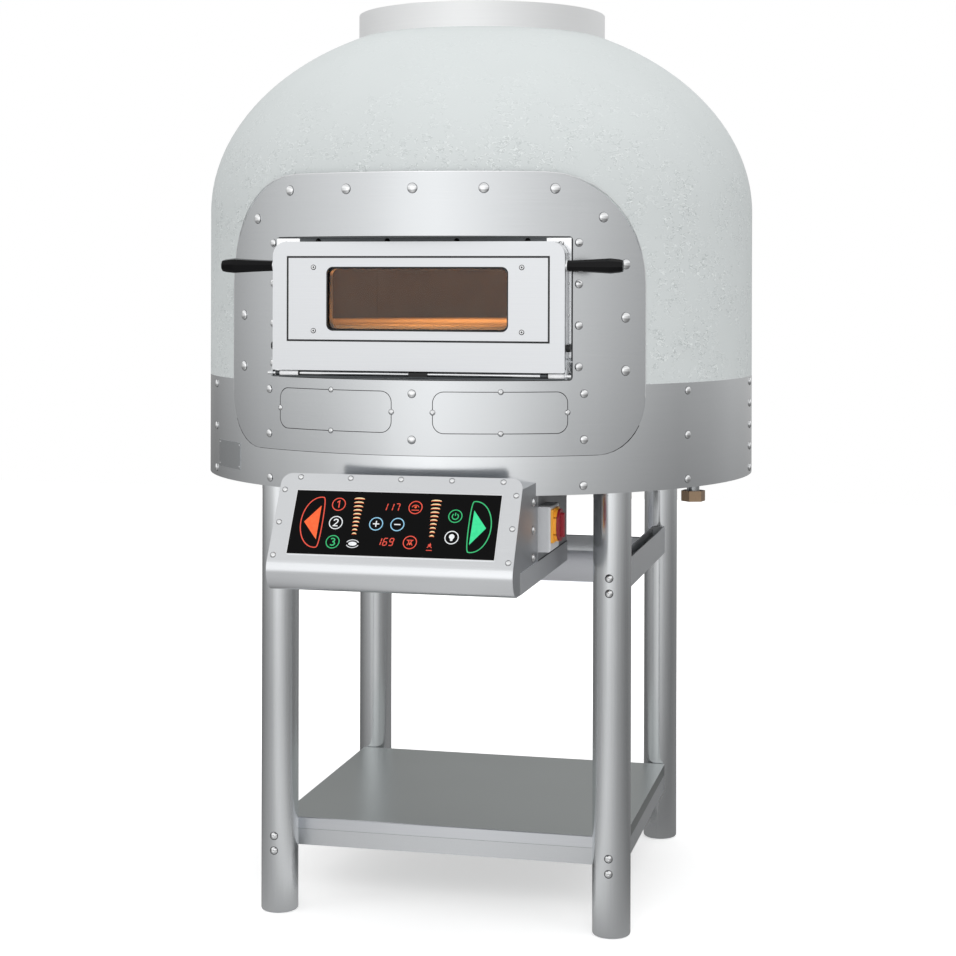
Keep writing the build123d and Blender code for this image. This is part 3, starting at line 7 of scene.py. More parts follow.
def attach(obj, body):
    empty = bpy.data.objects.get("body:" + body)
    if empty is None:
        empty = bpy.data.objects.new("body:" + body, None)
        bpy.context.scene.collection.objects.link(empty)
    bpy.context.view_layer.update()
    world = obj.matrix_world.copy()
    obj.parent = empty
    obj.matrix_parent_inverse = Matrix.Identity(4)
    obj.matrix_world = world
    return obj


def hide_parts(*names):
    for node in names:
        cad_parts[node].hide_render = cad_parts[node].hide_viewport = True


# Gas dome oven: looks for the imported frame. Metres, door towards -Y, floor at z 0.
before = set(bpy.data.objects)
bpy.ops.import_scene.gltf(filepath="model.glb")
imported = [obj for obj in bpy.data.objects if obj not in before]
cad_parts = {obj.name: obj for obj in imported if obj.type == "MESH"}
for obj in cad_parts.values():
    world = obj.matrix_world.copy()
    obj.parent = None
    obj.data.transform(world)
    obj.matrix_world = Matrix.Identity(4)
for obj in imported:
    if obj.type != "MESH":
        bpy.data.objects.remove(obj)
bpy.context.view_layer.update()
print("stage: frame loaded,", len(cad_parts), "nodes")

mm = 0.001
axisY = 79.3  # the dome's upright axis stands at x 0 and this y, in millimetres


# Colours and nodes
def linear(code):
    channels = [int(code[i : i + 2], 16) / 255 for i in (1, 3, 5)]
    flat = [c / 12.92 if c <= 0.04045 else ((c + 0.055) / 1.055) ** 2.4 for c in channels]
    return (*flat, 1)


def addNode(tree, kind, inputs=None, **settings):
    made = tree.nodes.new("ShaderNode" + kind)
    for name, value in settings.items():
        setattr(made, name, value)
    for socket, value in (inputs or {}).items():
        if isinstance(value, bpy.types.NodeSocket):
            tree.links.new(value, made.inputs[socket])
        else:
            made.inputs[socket].default_value = value
    return made


def startMaterial(name, **sockets):
    material = bpy.data.materials.new(name)
    material.use_nodes = True
    tree = material.node_tree
    shader = tree.nodes["Principled BSDF"]
    for socket, value in sockets.items():
        shader.inputs[socket.replace("_", " ")].default_value = value
    place = addNode(tree, "TexCoord").outputs["Object"]
    return material, tree, shader, place


def dress(tree, shader, colour=None, rough=None, relief=None):
    # colour: a pattern with its low and high colour; rough: a pattern with its least and most roughness;
    # relief: a pattern with its strength and its depth in millimetres
    if colour:
        pattern, low, high = colour
        mix = addNode(tree, "Mix", {"Factor": pattern, 6: linear(low), 7: linear(high)}, data_type="RGBA")
        tree.links.new(mix.outputs[2], shader.inputs["Base Color"])
    if rough:
        pattern, least, most = rough
        spread = addNode(tree, "MapRange", {"Value": pattern, "To Min": least, "To Max": most})
        tree.links.new(spread.outputs[0], shader.inputs["Roughness"])
    if relief:
        pattern, strength, depthMm = relief
        bump = addNode(tree, "Bump", {"Height": pattern, "Strength": strength, "Distance": depthMm * mm})
        tree.links.new(bump.outputs[0], shader.inputs["Normal"])


def mottled(name, patterns, colour, rough=None, relief=None, **sockets):
    # patterns: each noise's width in millimetres and its detail; the other three begin with the name of one
    material, tree, shader, place = startMaterial(name, **sockets)
    noises = {}
    for pattern, (wideMm, detail) in patterns.items():
        inputs = {"Vector": place, "Scale": 1000 / wideMm, "Detail": detail}
        noises[pattern] = addNode(tree, "TexNoise", inputs).outputs[0]
    dress(tree, shader, *[part and (noises[part[0]], *part[1:]) for part in (colour, rough, relief)])
    return material


# Stainless sheet and tube, ground with a belt: a soft highlight drawn out across the grain
def brushedSteel(name, direction, wideMm, longMm, dark, light, rough, strength=0.25):
    material, tree, shader, place = startMaterial(name, Metallic=1.0)
    across, along = 1000 / wideMm, 1000 / longMm
    scale = {
        "ring": (along, along, across),
        "up": (across, across, along),
        "x": (along, across, across),
        "y": (across, along, across),
    }[direction]
    drawn = addNode(tree, "Mapping", {"Vector": place, "Scale": scale}).outputs[0]
    grain = addNode(tree, "TexNoise", {"Vector": drawn, "Scale": 1.0, "Detail": 3.0}).outputs[0]
    cloud = addNode(tree, "TexNoise", {"Vector": place, "Scale": 1000 / 160, "Detail": 2.0}).outputs[0]
    both = addNode(tree, "Mix", {"Factor": 0.35, 2: grain, 3: cloud}, data_type="FLOAT").outputs[0]
    dress(tree, shader, (both, dark, light), (both, rough - 0.05, rough + 0.07), (grain, strength, 0.06))
    return material


# Way of the grain, its width and length in millimetres, dark and light colour, roughness, relief where it isn't 0.25.
# The real grain is about 0.1 mm wide: it is drawn 1 to 2 mm wide here, so that it shows
steelLooks = {
    "legTube": ("up", 1.4, 90, "#E6E9EB", "#F3F5F7", 0.2),
    "railSheet": ("y", 1.6, 70, "#DCDFE2", "#EAECEE", 0.4),
    # the shelf's top and its folded lip are one sheet: the top's darker tone is painted shade and the lip's lighter
    # one painted light
    "shelfSheetShaded": ("x", 1.5, 90, "#9CA1A0", "#ABB0AF", 0.3),
    "lipSheetLit": ("x", 1.5, 90, "#E4E7EC", "#F0F2F5", 0.3),
    "traySheet": ("x", 1.5, 90, "#E2E5EE", "#EEF0F8", 0.22),
    "bandSheet": ("ring", 1.3, 120, "#E2E5E7", "#ECEEF0", 0.14, 0.1),
    "collarSheet": ("ring", 1.3, 120, "#E9EAEB", "#F1F2F2", 0.46, 0.1),
    "frontSheet": ("ring", 1.3, 120, "#D2D5D7", "#DEE0E2", 0.2, 0.1),
    "doorSheet": ("x", 1.4, 120, "#DADCDF", "#E6E8EA", 0.36, 0.15),
    # the mouth frame's dark tone is painted shade, as it stands recessed under the front sheet's edge
    "mouthSheetShaded": ("x", 1.6, 60, "#5C5F61", "#727577", 0.34),
    # the hinge sill's dark tone is painted shade, in the shadow under the door
    "sillStripShaded": ("x", 1.4, 60, "#4A4D4F", "#5E6163", 0.3),
    "controlSheet": ("x", 1.3, 120, "#DEE0E3", "#E8EAEC", 0.22),
    "cowlSheet": ("up", 1.6, 60, "#A6A8AB", "#B4B6B9", 0.34),
    "plateSheet": ("x", 1.2, 40, "#BDC0C2", "#CBCED0", 0.3),
    "fluePipe": ("ring", 1.6, 80, "#8F9293", "#A7AAAC", 0.4),
    "gasTube": ("up", 1.2, 60, "#B8BBBD", "#CCCFD1", 0.3),
    "turnedSteel": ("up", 0.8, 20, "#CED1D3", "#E4E6E8", 0.2),
    "burnerTube": ("ring", 1.6, 40, "#5B4D40", "#7C6C5C", 0.5),
    "gearSteel": ("ring", 1.0, 20, "#7A7C7E", "#94979A", 0.35),
}
steel = {name: brushedSteel(name, *look) for name, look in steelLooks.items()}


# Mineral render, trowelled and sponged, matte, pale grey-green, with short trowel marks in clumps on its lower half;
# each mark has a painted highlight on one flank and painted shade on the other
renderLook = dict(
    markMm=12.0, breakMm=15.0, clumpMm=70.0, cloudMm=180.0, gritMm=2.6,
    flatter=2.0,  # the trowel went round the dome, so a mark is twice as wide as high
    breakFrom=0.42, breakTo=0.52, clumpFrom=0.36, clumpTo=0.56,  # where on each pattern marks begin and are full
    fewAbove=1.6, manyBelow=1.35, fewest=0.15,  # heights in metres, and the share of marks left on top
    low="#CCD1D1", high="#D3D8D8",
    # the lit and shaded flanks are painted light and shade, standing for light from above
    flanks={"lit": ("#EEF2F2", 0.54, 0.9), "shaded": ("#98A0A0", 0.48, 0.6)},  # colour, height on the ridge, share
    flankWidth=0.04, markRise=0.3, gritRise=0.2, strength=0.8, depthMm=1.4,
)


def mineralRender(name, look):
    material, tree, shader, place = startMaterial(name, Roughness=0.88, Specular_IOR_Level=0.25)
    drawn = addNode(tree, "Mapping", {"Vector": place, "Scale": (1.0, 1.0, look["flatter"])}).outputs[0]
    noises = {}
    for pattern, detail in (("mark", 2.0), ("break", 1.0), ("clump", 3.0), ("cloud", 2.0), ("grit", 4.0)):
        spot = drawn if pattern == "mark" else place
        inputs = {"Vector": spot, "Scale": 1000 / look[pattern + "Mm"], "Detail": detail}
        noises[pattern] = addNode(tree, "TexNoise", inputs).outputs[0]
    upward = addNode(tree, "SeparateXYZ", {0: place}).outputs["Z"]
    lower = {"Value": upward, "From Min": look["fewAbove"], "From Max": look["manyBelow"], "To Min": look["fewest"]}
    shown = addNode(tree, "MapRange", lower).outputs[0]
    for pattern in ("break", "clump"):
        gate = {"Value": noises[pattern], "From Min": look[pattern + "From"], "From Max": look[pattern + "To"]}
        gate = addNode(tree, "MapRange", gate).outputs[0]
        shown = addNode(tree, "Math", {0: shown, 1: gate}, operation="MULTIPLY").outputs[0]
    base = {"Factor": noises["cloud"], 6: linear(look["low"]), 7: linear(look["high"])}
    tone = addNode(tree, "Mix", base, data_type="RGBA").outputs[2]
    # painted highlight and painted shade along the flanks of each mark
    marks = {}
    for flank, (colour, middle, share) in look["flanks"].items():
        off = addNode(tree, "Math", {0: noises["mark"], 1: middle}, operation="SUBTRACT").outputs[0]
        size = addNode(tree, "Math", {0: off}, operation="ABSOLUTE").outputs[0]
        near = {"Value": size, "From Max": look["flankWidth"], "To Min": 1.0, "To Max": 0.0}
        near = addNode(tree, "MapRange", near).outputs[0]
        marks[flank] = addNode(tree, "Math", {0: near, 1: shown}, operation="MULTIPLY").outputs[0]
        amount = addNode(tree, "Math", {0: marks[flank], 1: share}, operation="MULTIPLY").outputs[0]
        tone = addNode(tree, "Mix", {"Factor": amount, 6: tone, 7: linear(colour)}, data_type="RGBA").outputs[2]
    tree.links.new(tone, shader.inputs["Base Color"])
    grit = addNode(tree, "Math", {0: noises["grit"], 1: look["gritRise"]}, operation="MULTIPLY").outputs[0]
    rises = {0: marks["lit"], 1: look["markRise"], 2: grit}
    height = addNode(tree, "Math", rises, operation="MULTIPLY_ADD").outputs[0]
    dress(tree, shader, relief=(height, look["strength"], look["depthMm"]))
    return material


# Cast refractory concrete: sandy, full of small dark grains, baked
def refractoryCast(name, low, high, sandMm=3.0):
    material, tree, shader, place = startMaterial(name, Roughness=0.92, Specular_IOR_Level=0.25)
    grains = addNode(tree, "TexVoronoi", {"Vector": place, "Scale": 1000 / sandMm}).outputs["Distance"]
    cloud = addNode(tree, "TexNoise", {"Vector": place, "Scale": 1000 / 60, "Detail": 4.0}).outputs[0]
    dress(tree, shader, (cloud, low, high), relief=(grains, 0.2, 0.4))
    return material


# Powder coat and primer on folded sheet: fine orange peel under slow clouds of tone
def paintedMetal(name, low, high, rough=0.5):
    patterns = {"peel": (1.5, 2.0), "cloud": (90, 2.0)}
    return mottled(name, patterns, ("cloud", low, high), ("peel", rough - 0.06, rough + 0.08), ("peel", 0.2, 0.1))


# Moulded and turned plastics: polyamide, polycarbonate, nitrile and phenolic, with a fine spark-eroded or lathe grain
def mouldedPlastic(name, low, high, rough, gloss=0.5):
    colour, spread, relief = ("grain", low, high), ("grain", rough - 0.05, rough + 0.08), ("grain", 0.15, 0.1)
    return mottled(name, {"grain": (0.9, 2.0)}, colour, spread, relief, IOR=1.5, Specular_IOR_Level=gloss)


# Brass, turned and slightly tarnished, and bearing bronze: cloudy stains on a satin metal
def turnedBrass(name, low, high):
    return mottled(name, {"stain": (9, 4.0)}, ("stain", low, high), ("stain", 0.24, 0.44), Metallic=1.0)


# Mineral wool and glass-fibre rope: matte threads, drawn about six times wider than they are, so that they show
def fibre(name, low, high, threadMm):
    material, tree, shader, place = startMaterial(name, Roughness=1.0, Specular_IOR_Level=0.1)
    perMetre = 1000 / threadMm / 20  # the wave node turns 20 radians to a unit
    wave = addNode(tree, "TexWave", {"Vector": place, "Scale": perMetre, "Distortion": 6.0, "Detail": 3.0})
    twist = wave.outputs["Fac"]
    dress(tree, shader, (twist, low, high), relief=(twist, 0.5, 0.5))
    return material


# Ceramic glass: clear, with a smoky tint and a film of soot; its index is low, as the panes are coated against glare
def doorPane(name):
    tint, rough = ("soot", "#E4E0DA", "#EEEBE6"), ("soot", 0.0, 0.04)
    return mottled(name, {"soot": (45, 3.0)}, tint, rough, Transmission_Weight=1.0, IOR=1.32)


# Lit symbol behind the black glass: even light with a slightly brighter middle
def litSymbol(name, low, high):
    sockets = dict(Roughness=0.1, Specular_IOR_Level=0.12, Emission_Strength=1.12)
    material, tree, shader, place = startMaterial(name, **sockets)
    mottle = addNode(tree, "TexNoise", {"Vector": place, "Scale": 1000 / 6, "Detail": 1.0}).outputs[0]
    dress(tree, shader, (mottle, "#101010", "#181818"))
    tone = addNode(tree, "Mix", {"Factor": mottle, 6: linear(low), 7: linear(high)}, data_type="RGBA")
    tree.links.new(tone.outputs[2], shader.inputs["Emission Color"])
    return material


# Rivets and side strips: stainless, tumbled bright, so they mirror the studio almost sharply
bright, dents = ("dent", "#EEF0F1", "#FAFAFB"), ("dent", 0.1, 0.2)
rivetSteel = mottled("tumbledStainless", {"dent": (3, 2.0)}, bright, dents, Metallic=1.0)
# Sand-cast iron: grey, grainy
sandy, rough, sand = ("sand", "#4A4B4C", "#636465"), ("sand", 0.5, 0.75), ("sand", 0.5, 0.4)
iron = mottled("sandCastIron", {"sand": (1.2, 4.0)}, sandy, rough, sand, Metallic=0.9)
# Toughened glass, black screen-print on the back: deep black under a sharp gloss
black, dust = ("dust", "#070707", "#0D0D0E"), ("dust", 0.05, 0.12)
touchPane = mottled("printedGlass", {"dust": (2, 3.0)}, black, dust, IOR=1.5, Specular_IOR_Level=0.07)
render = mineralRender("mineralRender", renderLook)
castBlock = refractoryCast("castRefractory", "#827A70", "#958D82")
castDeck = refractoryCast("castDeckStone", "#B59F84", "#D0BCA0", 2.0)
primer = paintedMetal("greyPrimer", "#3A3B3D", "#46484A", 0.6)
# the control box's dark grey is painted shade on its shaded sides
boxCoatShaded = paintedMetal("powderCoatShaded", "#6C6E71", "#7A7C7F", 0.42)
greyCoat = paintedMetal("greyPowderCoat", "#8A8C8F", "#989A9D", 0.35)
blackCoat = paintedMetal("blackCoat", "#141414", "#1E1E1E", 0.5)
motorCoat = paintedMetal("motorEnamel", "#4D5357", "#5A6165", 0.35)
blackGrip = mouldedPlastic("turnedPhenolic", "#060607", "#0C0C0E", 0.12, 0.16)
# white plastic for the hinge sleeves: a painted reflection of bright steel
paintedSleeveShine = mouldedPlastic("paintedSleeveShine", "#EDEEF0", "#F6F7F8", 0.35)
softRubber = mouldedPlastic("nitrileRubber", "#111112", "#1C1C1E", 0.45)
greyShell = mouldedPlastic("greyPolycarbonate", "#C2C4C7", "#D0D2D5", 0.4)
yellowShell = mouldedPlastic("yellowPolyamide", "#EFA32E", "#F8B340", 0.38)
redKnob = mouldedPlastic("redPolyamide", "#861A28", "#9A2330", 0.35)
brass = turnedBrass("turnedBrass", "#A88F76", "#C4A88C")
bronze = turnedBrass("bearingBronze", "#9A7A4C", "#B8935E")
wool = fibre("mineralWool", "#A99F86", "#C4BBA2", 1.5)
rope = fibre("glassFibreRope", "#4E4A44", "#6B665E", 1.2)
pane = doorPane("ceramicGlass")
lampGlass = doorPane("pressedLampGlass")
print("stage: materials made")

finishes = {
    steel["legTube"]: ["leg_front_left", "leg_front_right", "leg_back_left", "leg_back_right"],
    steel["railSheet"]: ["lower_side_rails", "upper_side_rails", "cross_rails"],
    steel["shelfSheetShaded"]: ["shelf"],
    steel["traySheet"]: ["bottom_tray"],
    steel["bandSheet"]: ["base_band"],
    steel["collarSheet"]: ["flue_collar"],
    steel["frontSheet"]: ["front_sheet", "inspection_covers"],
    steel["doorSheet"]: ["door_leaf", "door_panel"],
    steel["mouthSheetShaded"]: ["mouth_frame"],
    steel["sillStripShaded"]: ["hinge_sill"],
    steel["controlSheet"]: ["control_face"],
    steel["cowlSheet"]: ["control_cowl"],
    steel["fluePipe"]: ["flue_pipe"],
    steel["gasTube"]: ["gas_pipe"],
    steel["turnedSteel"]: ["m8_screws", "face_screws", "hinge_arms", "dome_probe"],
    steel["burnerTube"]: ["deck_burner", "flame_bar"],
    steel["gearSteel"]: ["pinion"],
    rivetSteel: ["domed_rivets", "frame_strips", "hinge_rod"],
    render: ["plaster_shell"],
    castBlock: ["dome_block_" + side for side in ("front", "right", "back", "left")] + ["hearth_ring", "mouth_liner"],
    castDeck: ["deck_stone"],
    primer: ["base_frame"],
    boxCoatShaded: ["control_box"],
    greyCoat: ["control_tray"],
    blackCoat: ["hinge_bearing"],
    softRubber: ["side_buffers"],
    motorCoat: ["gearmotor"],
    blackGrip: ["door_grips"],
    greyShell: ["isolator_box"],
    yellowShell: ["isolator_base"],
    redKnob: ["isolator_knob"],
    iron: ["turntable", "drive_gear", "bearing_housing"],
    brass: ["inlet_nut"],
    bronze: ["shaft_bushes"],
    wool: ["base_insulation", "dome_insulation"],
    rope: ["door_gasket"],
    pane: ["door_glass"],
    lampGlass: ["chamber_lamp"],
    touchPane: ["touch_glass"],
}
finished = set()
for material, nodes in finishes.items():
    for node in nodes:
        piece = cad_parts[node]
        piece.data.materials.clear()
        piece.data.materials.append(material)
        finished.add(node)
print("stage: CAD nodes finished, left over:", sorted(set(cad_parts) - finished))


# New pieces: all lengths are in millimetres until a vertex is made
def addToScene(name, data):
    made = bpy.data.objects.new(name, data)
    bpy.context.scene.collection.objects.link(made)
    return made


def newMesh(name, mesh, material):
    data = bpy.data.meshes.new(name)
    mesh.to_mesh(data)
    mesh.free()
    data.materials.append(material)
    return data


def newPiece(name, mesh, material, body, smooth=False):
    piece = addToScene(name, newMesh(name, mesh, material))
    if smooth:
        piece.data.shade_smooth()
    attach(piece, body)
    return piece


def facing(x, y, z, outward):
    # a place whose own z points outward
    return Matrix.Translation(Vector((x, y, z)) * mm) @ Vector(outward).to_track_quat("Z", "Y").to_matrix().to_4x4()


def lathe(mesh, place, profile, sides=32, hexFrom=None, capped=True):
    # profile: radius and rise about the place's own z; from hexFrom on the rings are six-sided
    rings = []
    for index, (radius, rise) in enumerate(profile):
        ring = []
        for step in range(sides):
            turn = 2 * pi * step / sides
            reach = radius
            if hexFrom is not None and index >= hexFrom:
                reach = radius * cos(pi / 6) / cos((turn + pi / 6) % (pi / 3) - pi / 6)
            ring.append(mesh.verts.new(place @ (Vector((reach * cos(turn), reach * sin(turn), rise)) * mm)))
        rings.append(ring)
    for low, high in zip(rings, rings[1:]):
        for step in range(sides):
            after = (step + 1) % sides
            mesh.faces.new((low[step], low[after], high[after], high[step]))
    if capped:
        mesh.faces.new(rings[-1])


def screwHead(mesh, place, radius, height, socket, depth, steps, sides):
    # a domed head from its rim to the socket's edge, then down into the hexagon socket
    ball = (radius**2 + height**2) / (2 * height)
    profile = [(radius, 0.0)]
    for step in range(1, steps + 1):
        reach = radius + (socket - radius) * step / steps
        profile.append((reach, height - ball + sqrt(ball**2 - reach**2)))
    top = profile[-1][1]
    profile += [(socket * 0.98, top - 0.2), (socket * 0.9, top - depth)]
    lathe(mesh, place, profile, sides, steps + 1)


rimShadeMesh = bmesh.new()


def rimShade(place, inner, outer):
    # a thin dark ring under the rim of a head: painted shade where the head meets the sheet
    lathe(rimShadeMesh, place, [(outer, -0.3), (outer - 0.1, 0.3), (inner, 0.3)], 24)


# Surfaces that the small pieces lie on: each gives a point from two lengths along it and one out of it
wallRadius = 552.1  # front sheet


def onWall(arc, height, out=0.0, reach=wallRadius):
    turn = arc / reach
    return Vector(((reach + out) * sin(turn), axisY - (reach + out) * cos(turn), height))


def offWall(arc, height, reach=wallRadius):
    # a place on the wall that looks straight out of it
    turn = arc / reach
    return facing(*onWall(arc, height, 0.0, reach), (sin(turn), -cos(turn), 0))


def crosswise(y, z, up=(0.0, 1.0), out=(-1.0, 0.0)):
    # a plane across the oven through y and z: up it and out of it are directions in y and z
    return lambda x, rise, off=0.0: Vector((x, y + up[0] * rise + out[0] * off, z + up[1] * rise + out[1] * off))


def sidewise(reach, side=1):
    # an upright plane that looks to one side
    return lambda y, z, out: Vector((side * (reach + out), y, z))


controlPlane = dict(lean=radians(31.2), back=672.6, height=711.5, rolled=36.0)
leanSin, leanCos = sin(controlPlane["lean"]), cos(controlPlane["lean"])
controlOut = Vector((0, -leanCos, leanSin))
onControlFace = crosswise(
    axisY - controlPlane["back"] - leanCos * controlPlane["rolled"],
    controlPlane["height"] + leanSin * controlPlane["rolled"],
    (leanSin, leanCos),
    (-leanCos, leanSin),
)
leafFront, leafSide, cowlSide = axisY - 522.0, 270.6, 216.5
onLeaf = crosswise(leafFront, 0.0)
onCowl = sidewise(cowlSide)


def seam(mesh, points, look, place, closed=True):
    # a square strip of the look's width along a path on a surface, from low to high above it
    corners = [Vector(point) for point in points]
    ends = corners[1:] + corners[:1] if closed else corners[1:]
    path = []
    for start, end in zip(corners, ends):
        steps = max(1, round((end - start).length / 12))
        path += [start.lerp(end, step / steps) for step in range(steps)]
    if not closed:
        path.append(corners[-1])
    rings = []
    for index, point in enumerate(path):
        before = path[index - 1] if closed or index else point
        after = path[(index + 1) % len(path)] if closed or index < len(path) - 1 else point
        along = (after - before).normalized()
        side = Vector((-along.y, along.x)) * look["width"] / 2
        section = ((side, look["low"]), (side, look["high"]), (-side, look["high"]), (-side, look["low"]))
        rings.append([mesh.verts.new(place(*(point + shift), rise) * mm) for shift, rise in section])
    for start, end in zip(rings, rings[1:] + rings[:1] if closed else rings[1:]):
        for one in range(4):
            two = (one + 1) % 4
            mesh.faces.new((start[one], start[two], end[two], end[one]))
    if not closed:
        mesh.faces.new(rings[0])
        mesh.faces.new(rings[-1])
    bmesh.ops.recalc_face_normals(mesh, faces=mesh.faces)


def roundedPath(left, right, foot, head, corner, steps=8):
    points = []
    for x, z, start in (
        (right - corner, head - corner, 0),
        (left + corner, head - corner, 90),
        (left + corner, foot + corner, 180),
        (right - corner, foot + corner, 270),
    ):
        turns = [radians(start + 90 * step / steps) for step in range(steps + 1)]
        points += [(x + corner * cos(turn), z + corner * sin(turn)) for turn in turns]
    return points


def framePath(look):
    # a rounded frame that is as wide to the left as to the right
    return roundedPath(-look["half"], look["half"], look["foot"], look["head"], look["corner"], look["steps"])


def mirrored(points):
    return points + [(-along, height) for along, height in reversed(points)]


def seamPiece(name, look, runs, material, body="oven", closed=False):
    # a piece of strips: each run is a surface and a path on it
    mesh = bmesh.new()
    for place, path in runs:
        seam(mesh, path, look, place, closed)
    newPiece(name, mesh, material, body)


# Button heads with a hexagon socket on the legs and the cowl's flanges
buttonHead = dict(radius=7.0, height=4.2, socket=2.6, depth=2.2, steps=6, sides=24)
legScrews = dict(x=323.6, front=-273.8, back=464.4, heights=(120.5, 148.5, 637.0, 665.0))
flangeScrews = dict(y=-452.7, heights=(723.5, 772.5, 821.5))
screwMesh = bmesh.new()
screwPlaces = []
for side in (-1, 1):
    for height in legScrews["heights"]:
        x = side * legScrews["x"]
        screwPlaces.append(facing(x, legScrews["front"], height, (0, -1, 0)))
        screwPlaces.append(facing(x, legScrews["back"], height, (0, 1, 0)))
    for height in flangeScrews["heights"]:
        screwPlaces.append(facing(side * cowlSide, flangeScrews["y"], height, (side, 0, 0)))
for place in screwPlaces:
    screwHead(screwMesh, place, **buttonHead)
    rimShade(place, buttonHead["radius"] - 0.4, buttonHead["radius"] + 0.9)
buttonHeads = newPiece("buttonHeads", screwMesh, rivetSteel, "oven", True)
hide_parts("m8_screws")

# Low round heads with a small socket: middle of each edge of the covers, control face, mouth frame
smallHead = dict(radius=4.8, height=2.5, socket=1.6, depth=1.4, steps=4, sides=20)
covers = dict(inner=38.0, outer=281.0, foot=941.0, head=1015.0, corner=20.0, width=1.3, low=-0.6, high=0.12)
faceScrews = dict(x=208.0, foot=8.9, rowPitch=62.2, top=158.3, topPitch=91.4)
mouthScrews = dict(y=axisY - 484.0, places=((257.0, 1280.0), (267.0, 1208.0), (267.0, 1151.0)))
coverX, coverZ = (covers["inner"] + covers["outer"]) / 2, (covers["foot"] + covers["head"]) / 2
smallMesh = bmesh.new()
smallPlaces = []
for side in (-1, 1):
    for arc, height in (
        (coverX, covers["head"]), (coverX, covers["foot"]), (covers["inner"], coverZ), (covers["outer"], coverZ)
    ):
        smallPlaces.append(offWall(side * arc, height))
    for row in range(3):
        point = onControlFace(side * faceScrews["x"], faceScrews["foot"] + row * faceScrews["rowPitch"])
        smallPlaces.append(facing(*point, controlOut))
    for x, height in mouthScrews["places"]:
        smallPlaces.append(facing(side * x, mouthScrews["y"], height, (0, -1, 0)))
for column in range(-2, 3):
    smallPlaces.append(facing(*onControlFace(column * faceScrews["topPitch"], faceScrews["top"]), controlOut))
for place in smallPlaces:
    screwHead(smallMesh, place, **smallHead)
    rimShade(place, smallHead["radius"] - 0.3, smallHead["radius"] + 0.4)
smallHeads = newPiece("smallHeads", smallMesh, rivetSteel, "oven", True)
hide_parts("face_screws")

# Blackened pan heads in the slot over the door
panHead = dict(radius=5.2, height=3.0, socket=1.6, depth=1.4, steps=5, sides=24)
headerScrews = dict(y=axisY - 483.2, z=1284.0, columns=(-196.0, -65.0, 65.0, 196.0))
headerMesh = bmesh.new()
for x in headerScrews["columns"]:
    screwHead(headerMesh, facing(x, headerScrews["y"], headerScrews["z"], (0, -1, 0)), **panHead)
newPiece("headerScrews", headerMesh, blackCoat, "oven", True)

# Countersunk screws of the door's window panel: a bright ring, with a dark disc in the socket and a dark ring round
# the head as painted shade
windowScrews = dict(
    x=193.0,
    heights=(1121.0, 1236.0),
    head=((3.9, 0.0), (3.7, 0.9), (1.9, 1.1), (1.7, 0.3)),
    socket=((1.8, 0.3), (1.7, 0.5)),
    rim=((4.9, 0.0), (4.8, 0.25), (3.6, 0.3)),
)
windowMesh, screwShadeMesh = bmesh.new(), bmesh.new()
for side in (-1, 1):
    for height in windowScrews["heights"]:
        place = facing(side * windowScrews["x"], leafFront, height, (0, -1, 0))
        lathe(windowMesh, place, windowScrews["head"], 20, 3)
        lathe(screwShadeMesh, place, windowScrews["socket"], 12)
        lathe(screwShadeMesh, place, windowScrews["rim"], 20)
newPiece("windowScrews", windowMesh, rivetSteel, "door", True)
newPiece("windowScrewShade", screwShadeMesh, blackCoat, "door")

# Dark joints round the covers; the dark strips along the sheet's foot and round the mouth are painted shade under the
# sheet's edges
coverRuns = []
for side in (-1, 1):
    left, right = sorted((side * covers["inner"], side * covers["outer"]))
    coverRuns.append((onWall, roundedPath(left, right, covers["foot"], covers["head"], covers["corner"])))
seamPiece("coverJoints", covers, coverRuns, softRubber, closed=True)
footShadeLook = dict(side=339.0, middle=1001.0, corner=100.4, width=0.9, low=-3.0, high=-0.3)
footPath = []
for turn in range(60, -1, -10):
    along = -footShadeLook["side"] - footShadeLook["corner"] * sin(radians(turn))
    footPath.append((along, footShadeLook["middle"] - footShadeLook["corner"] * cos(radians(turn))))
seamPiece("frontFootShade", footShadeLook, [(onWall, mirrored(footPath))], softRubber)
mouthShadeLook = dict(half=289.6, foot=1035.2, head=1291.4, corner=6.0, steps=8, width=1.3, low=-2.5, high=0.12)
seamPiece("mouthEdgeShade", mouthShadeLook, [(onWall, framePath(mouthShadeLook))], softRubber, closed=True)

# Bare cut edge of the front sheet, which catches the light
cutEdge = dict(side=439.8, foot=1001.0, middle=1206.0, corner=200.4, width=1.2, low=-1.8, high=0.1)
trimPath = [(cutEdge["side"], cutEdge["foot"])]
for turn in range(0, 91, 9):
    along = cutEdge["side"] - cutEdge["corner"] * (1 - cos(radians(turn)))
    trimPath.append((along, cutEdge["middle"] + cutEdge["corner"] * sin(radians(turn))))
seamPiece("frontCutEdge", cutEdge, [(onWall, mirrored(trimPath))], rivetSteel)

# Dark strips of the door: the folds at its sides and the panel's groove are gaps drawn dark as painted shade; the
# gasket round its window is a dark joint
sideFolds = dict(foot=1056.0, head=1262.0, widths={517.5: 2.6, 496.0: 2.0}, low=-0.5, high=0.15)
leafSideShadeMesh = bmesh.new()
for side in (-1, 1):
    for reach, width in sideFolds["widths"].items():
        path = [(axisY - reach, sideFolds["foot"]), (axisY - reach, sideFolds["head"])]
        seam(leafSideShadeMesh, path, dict(sideFolds, width=width), sidewise(leafSide, side), False)
newPiece("leafSideShade", leafSideShadeMesh, softRubber, "door")
panelGrooveShade = dict(half=242.0, foot=1103.5, head=1254.8, corner=1.0, steps=3, width=3.4, low=-3.0, high=-0.3)
seamPiece("panelGrooveShade", panelGrooveShade, [(onLeaf, framePath(panelGrooveShade))], softRubber, "door", True)
windowGasket = dict(half=167.4, foot=1122.2, head=1236.0, corner=11.0, steps=8, width=2.2, low=-5.0, high=0.15)
seamPiece("windowGasket", windowGasket, [(onLeaf, framePath(windowGasket))], softRubber, "door", True)

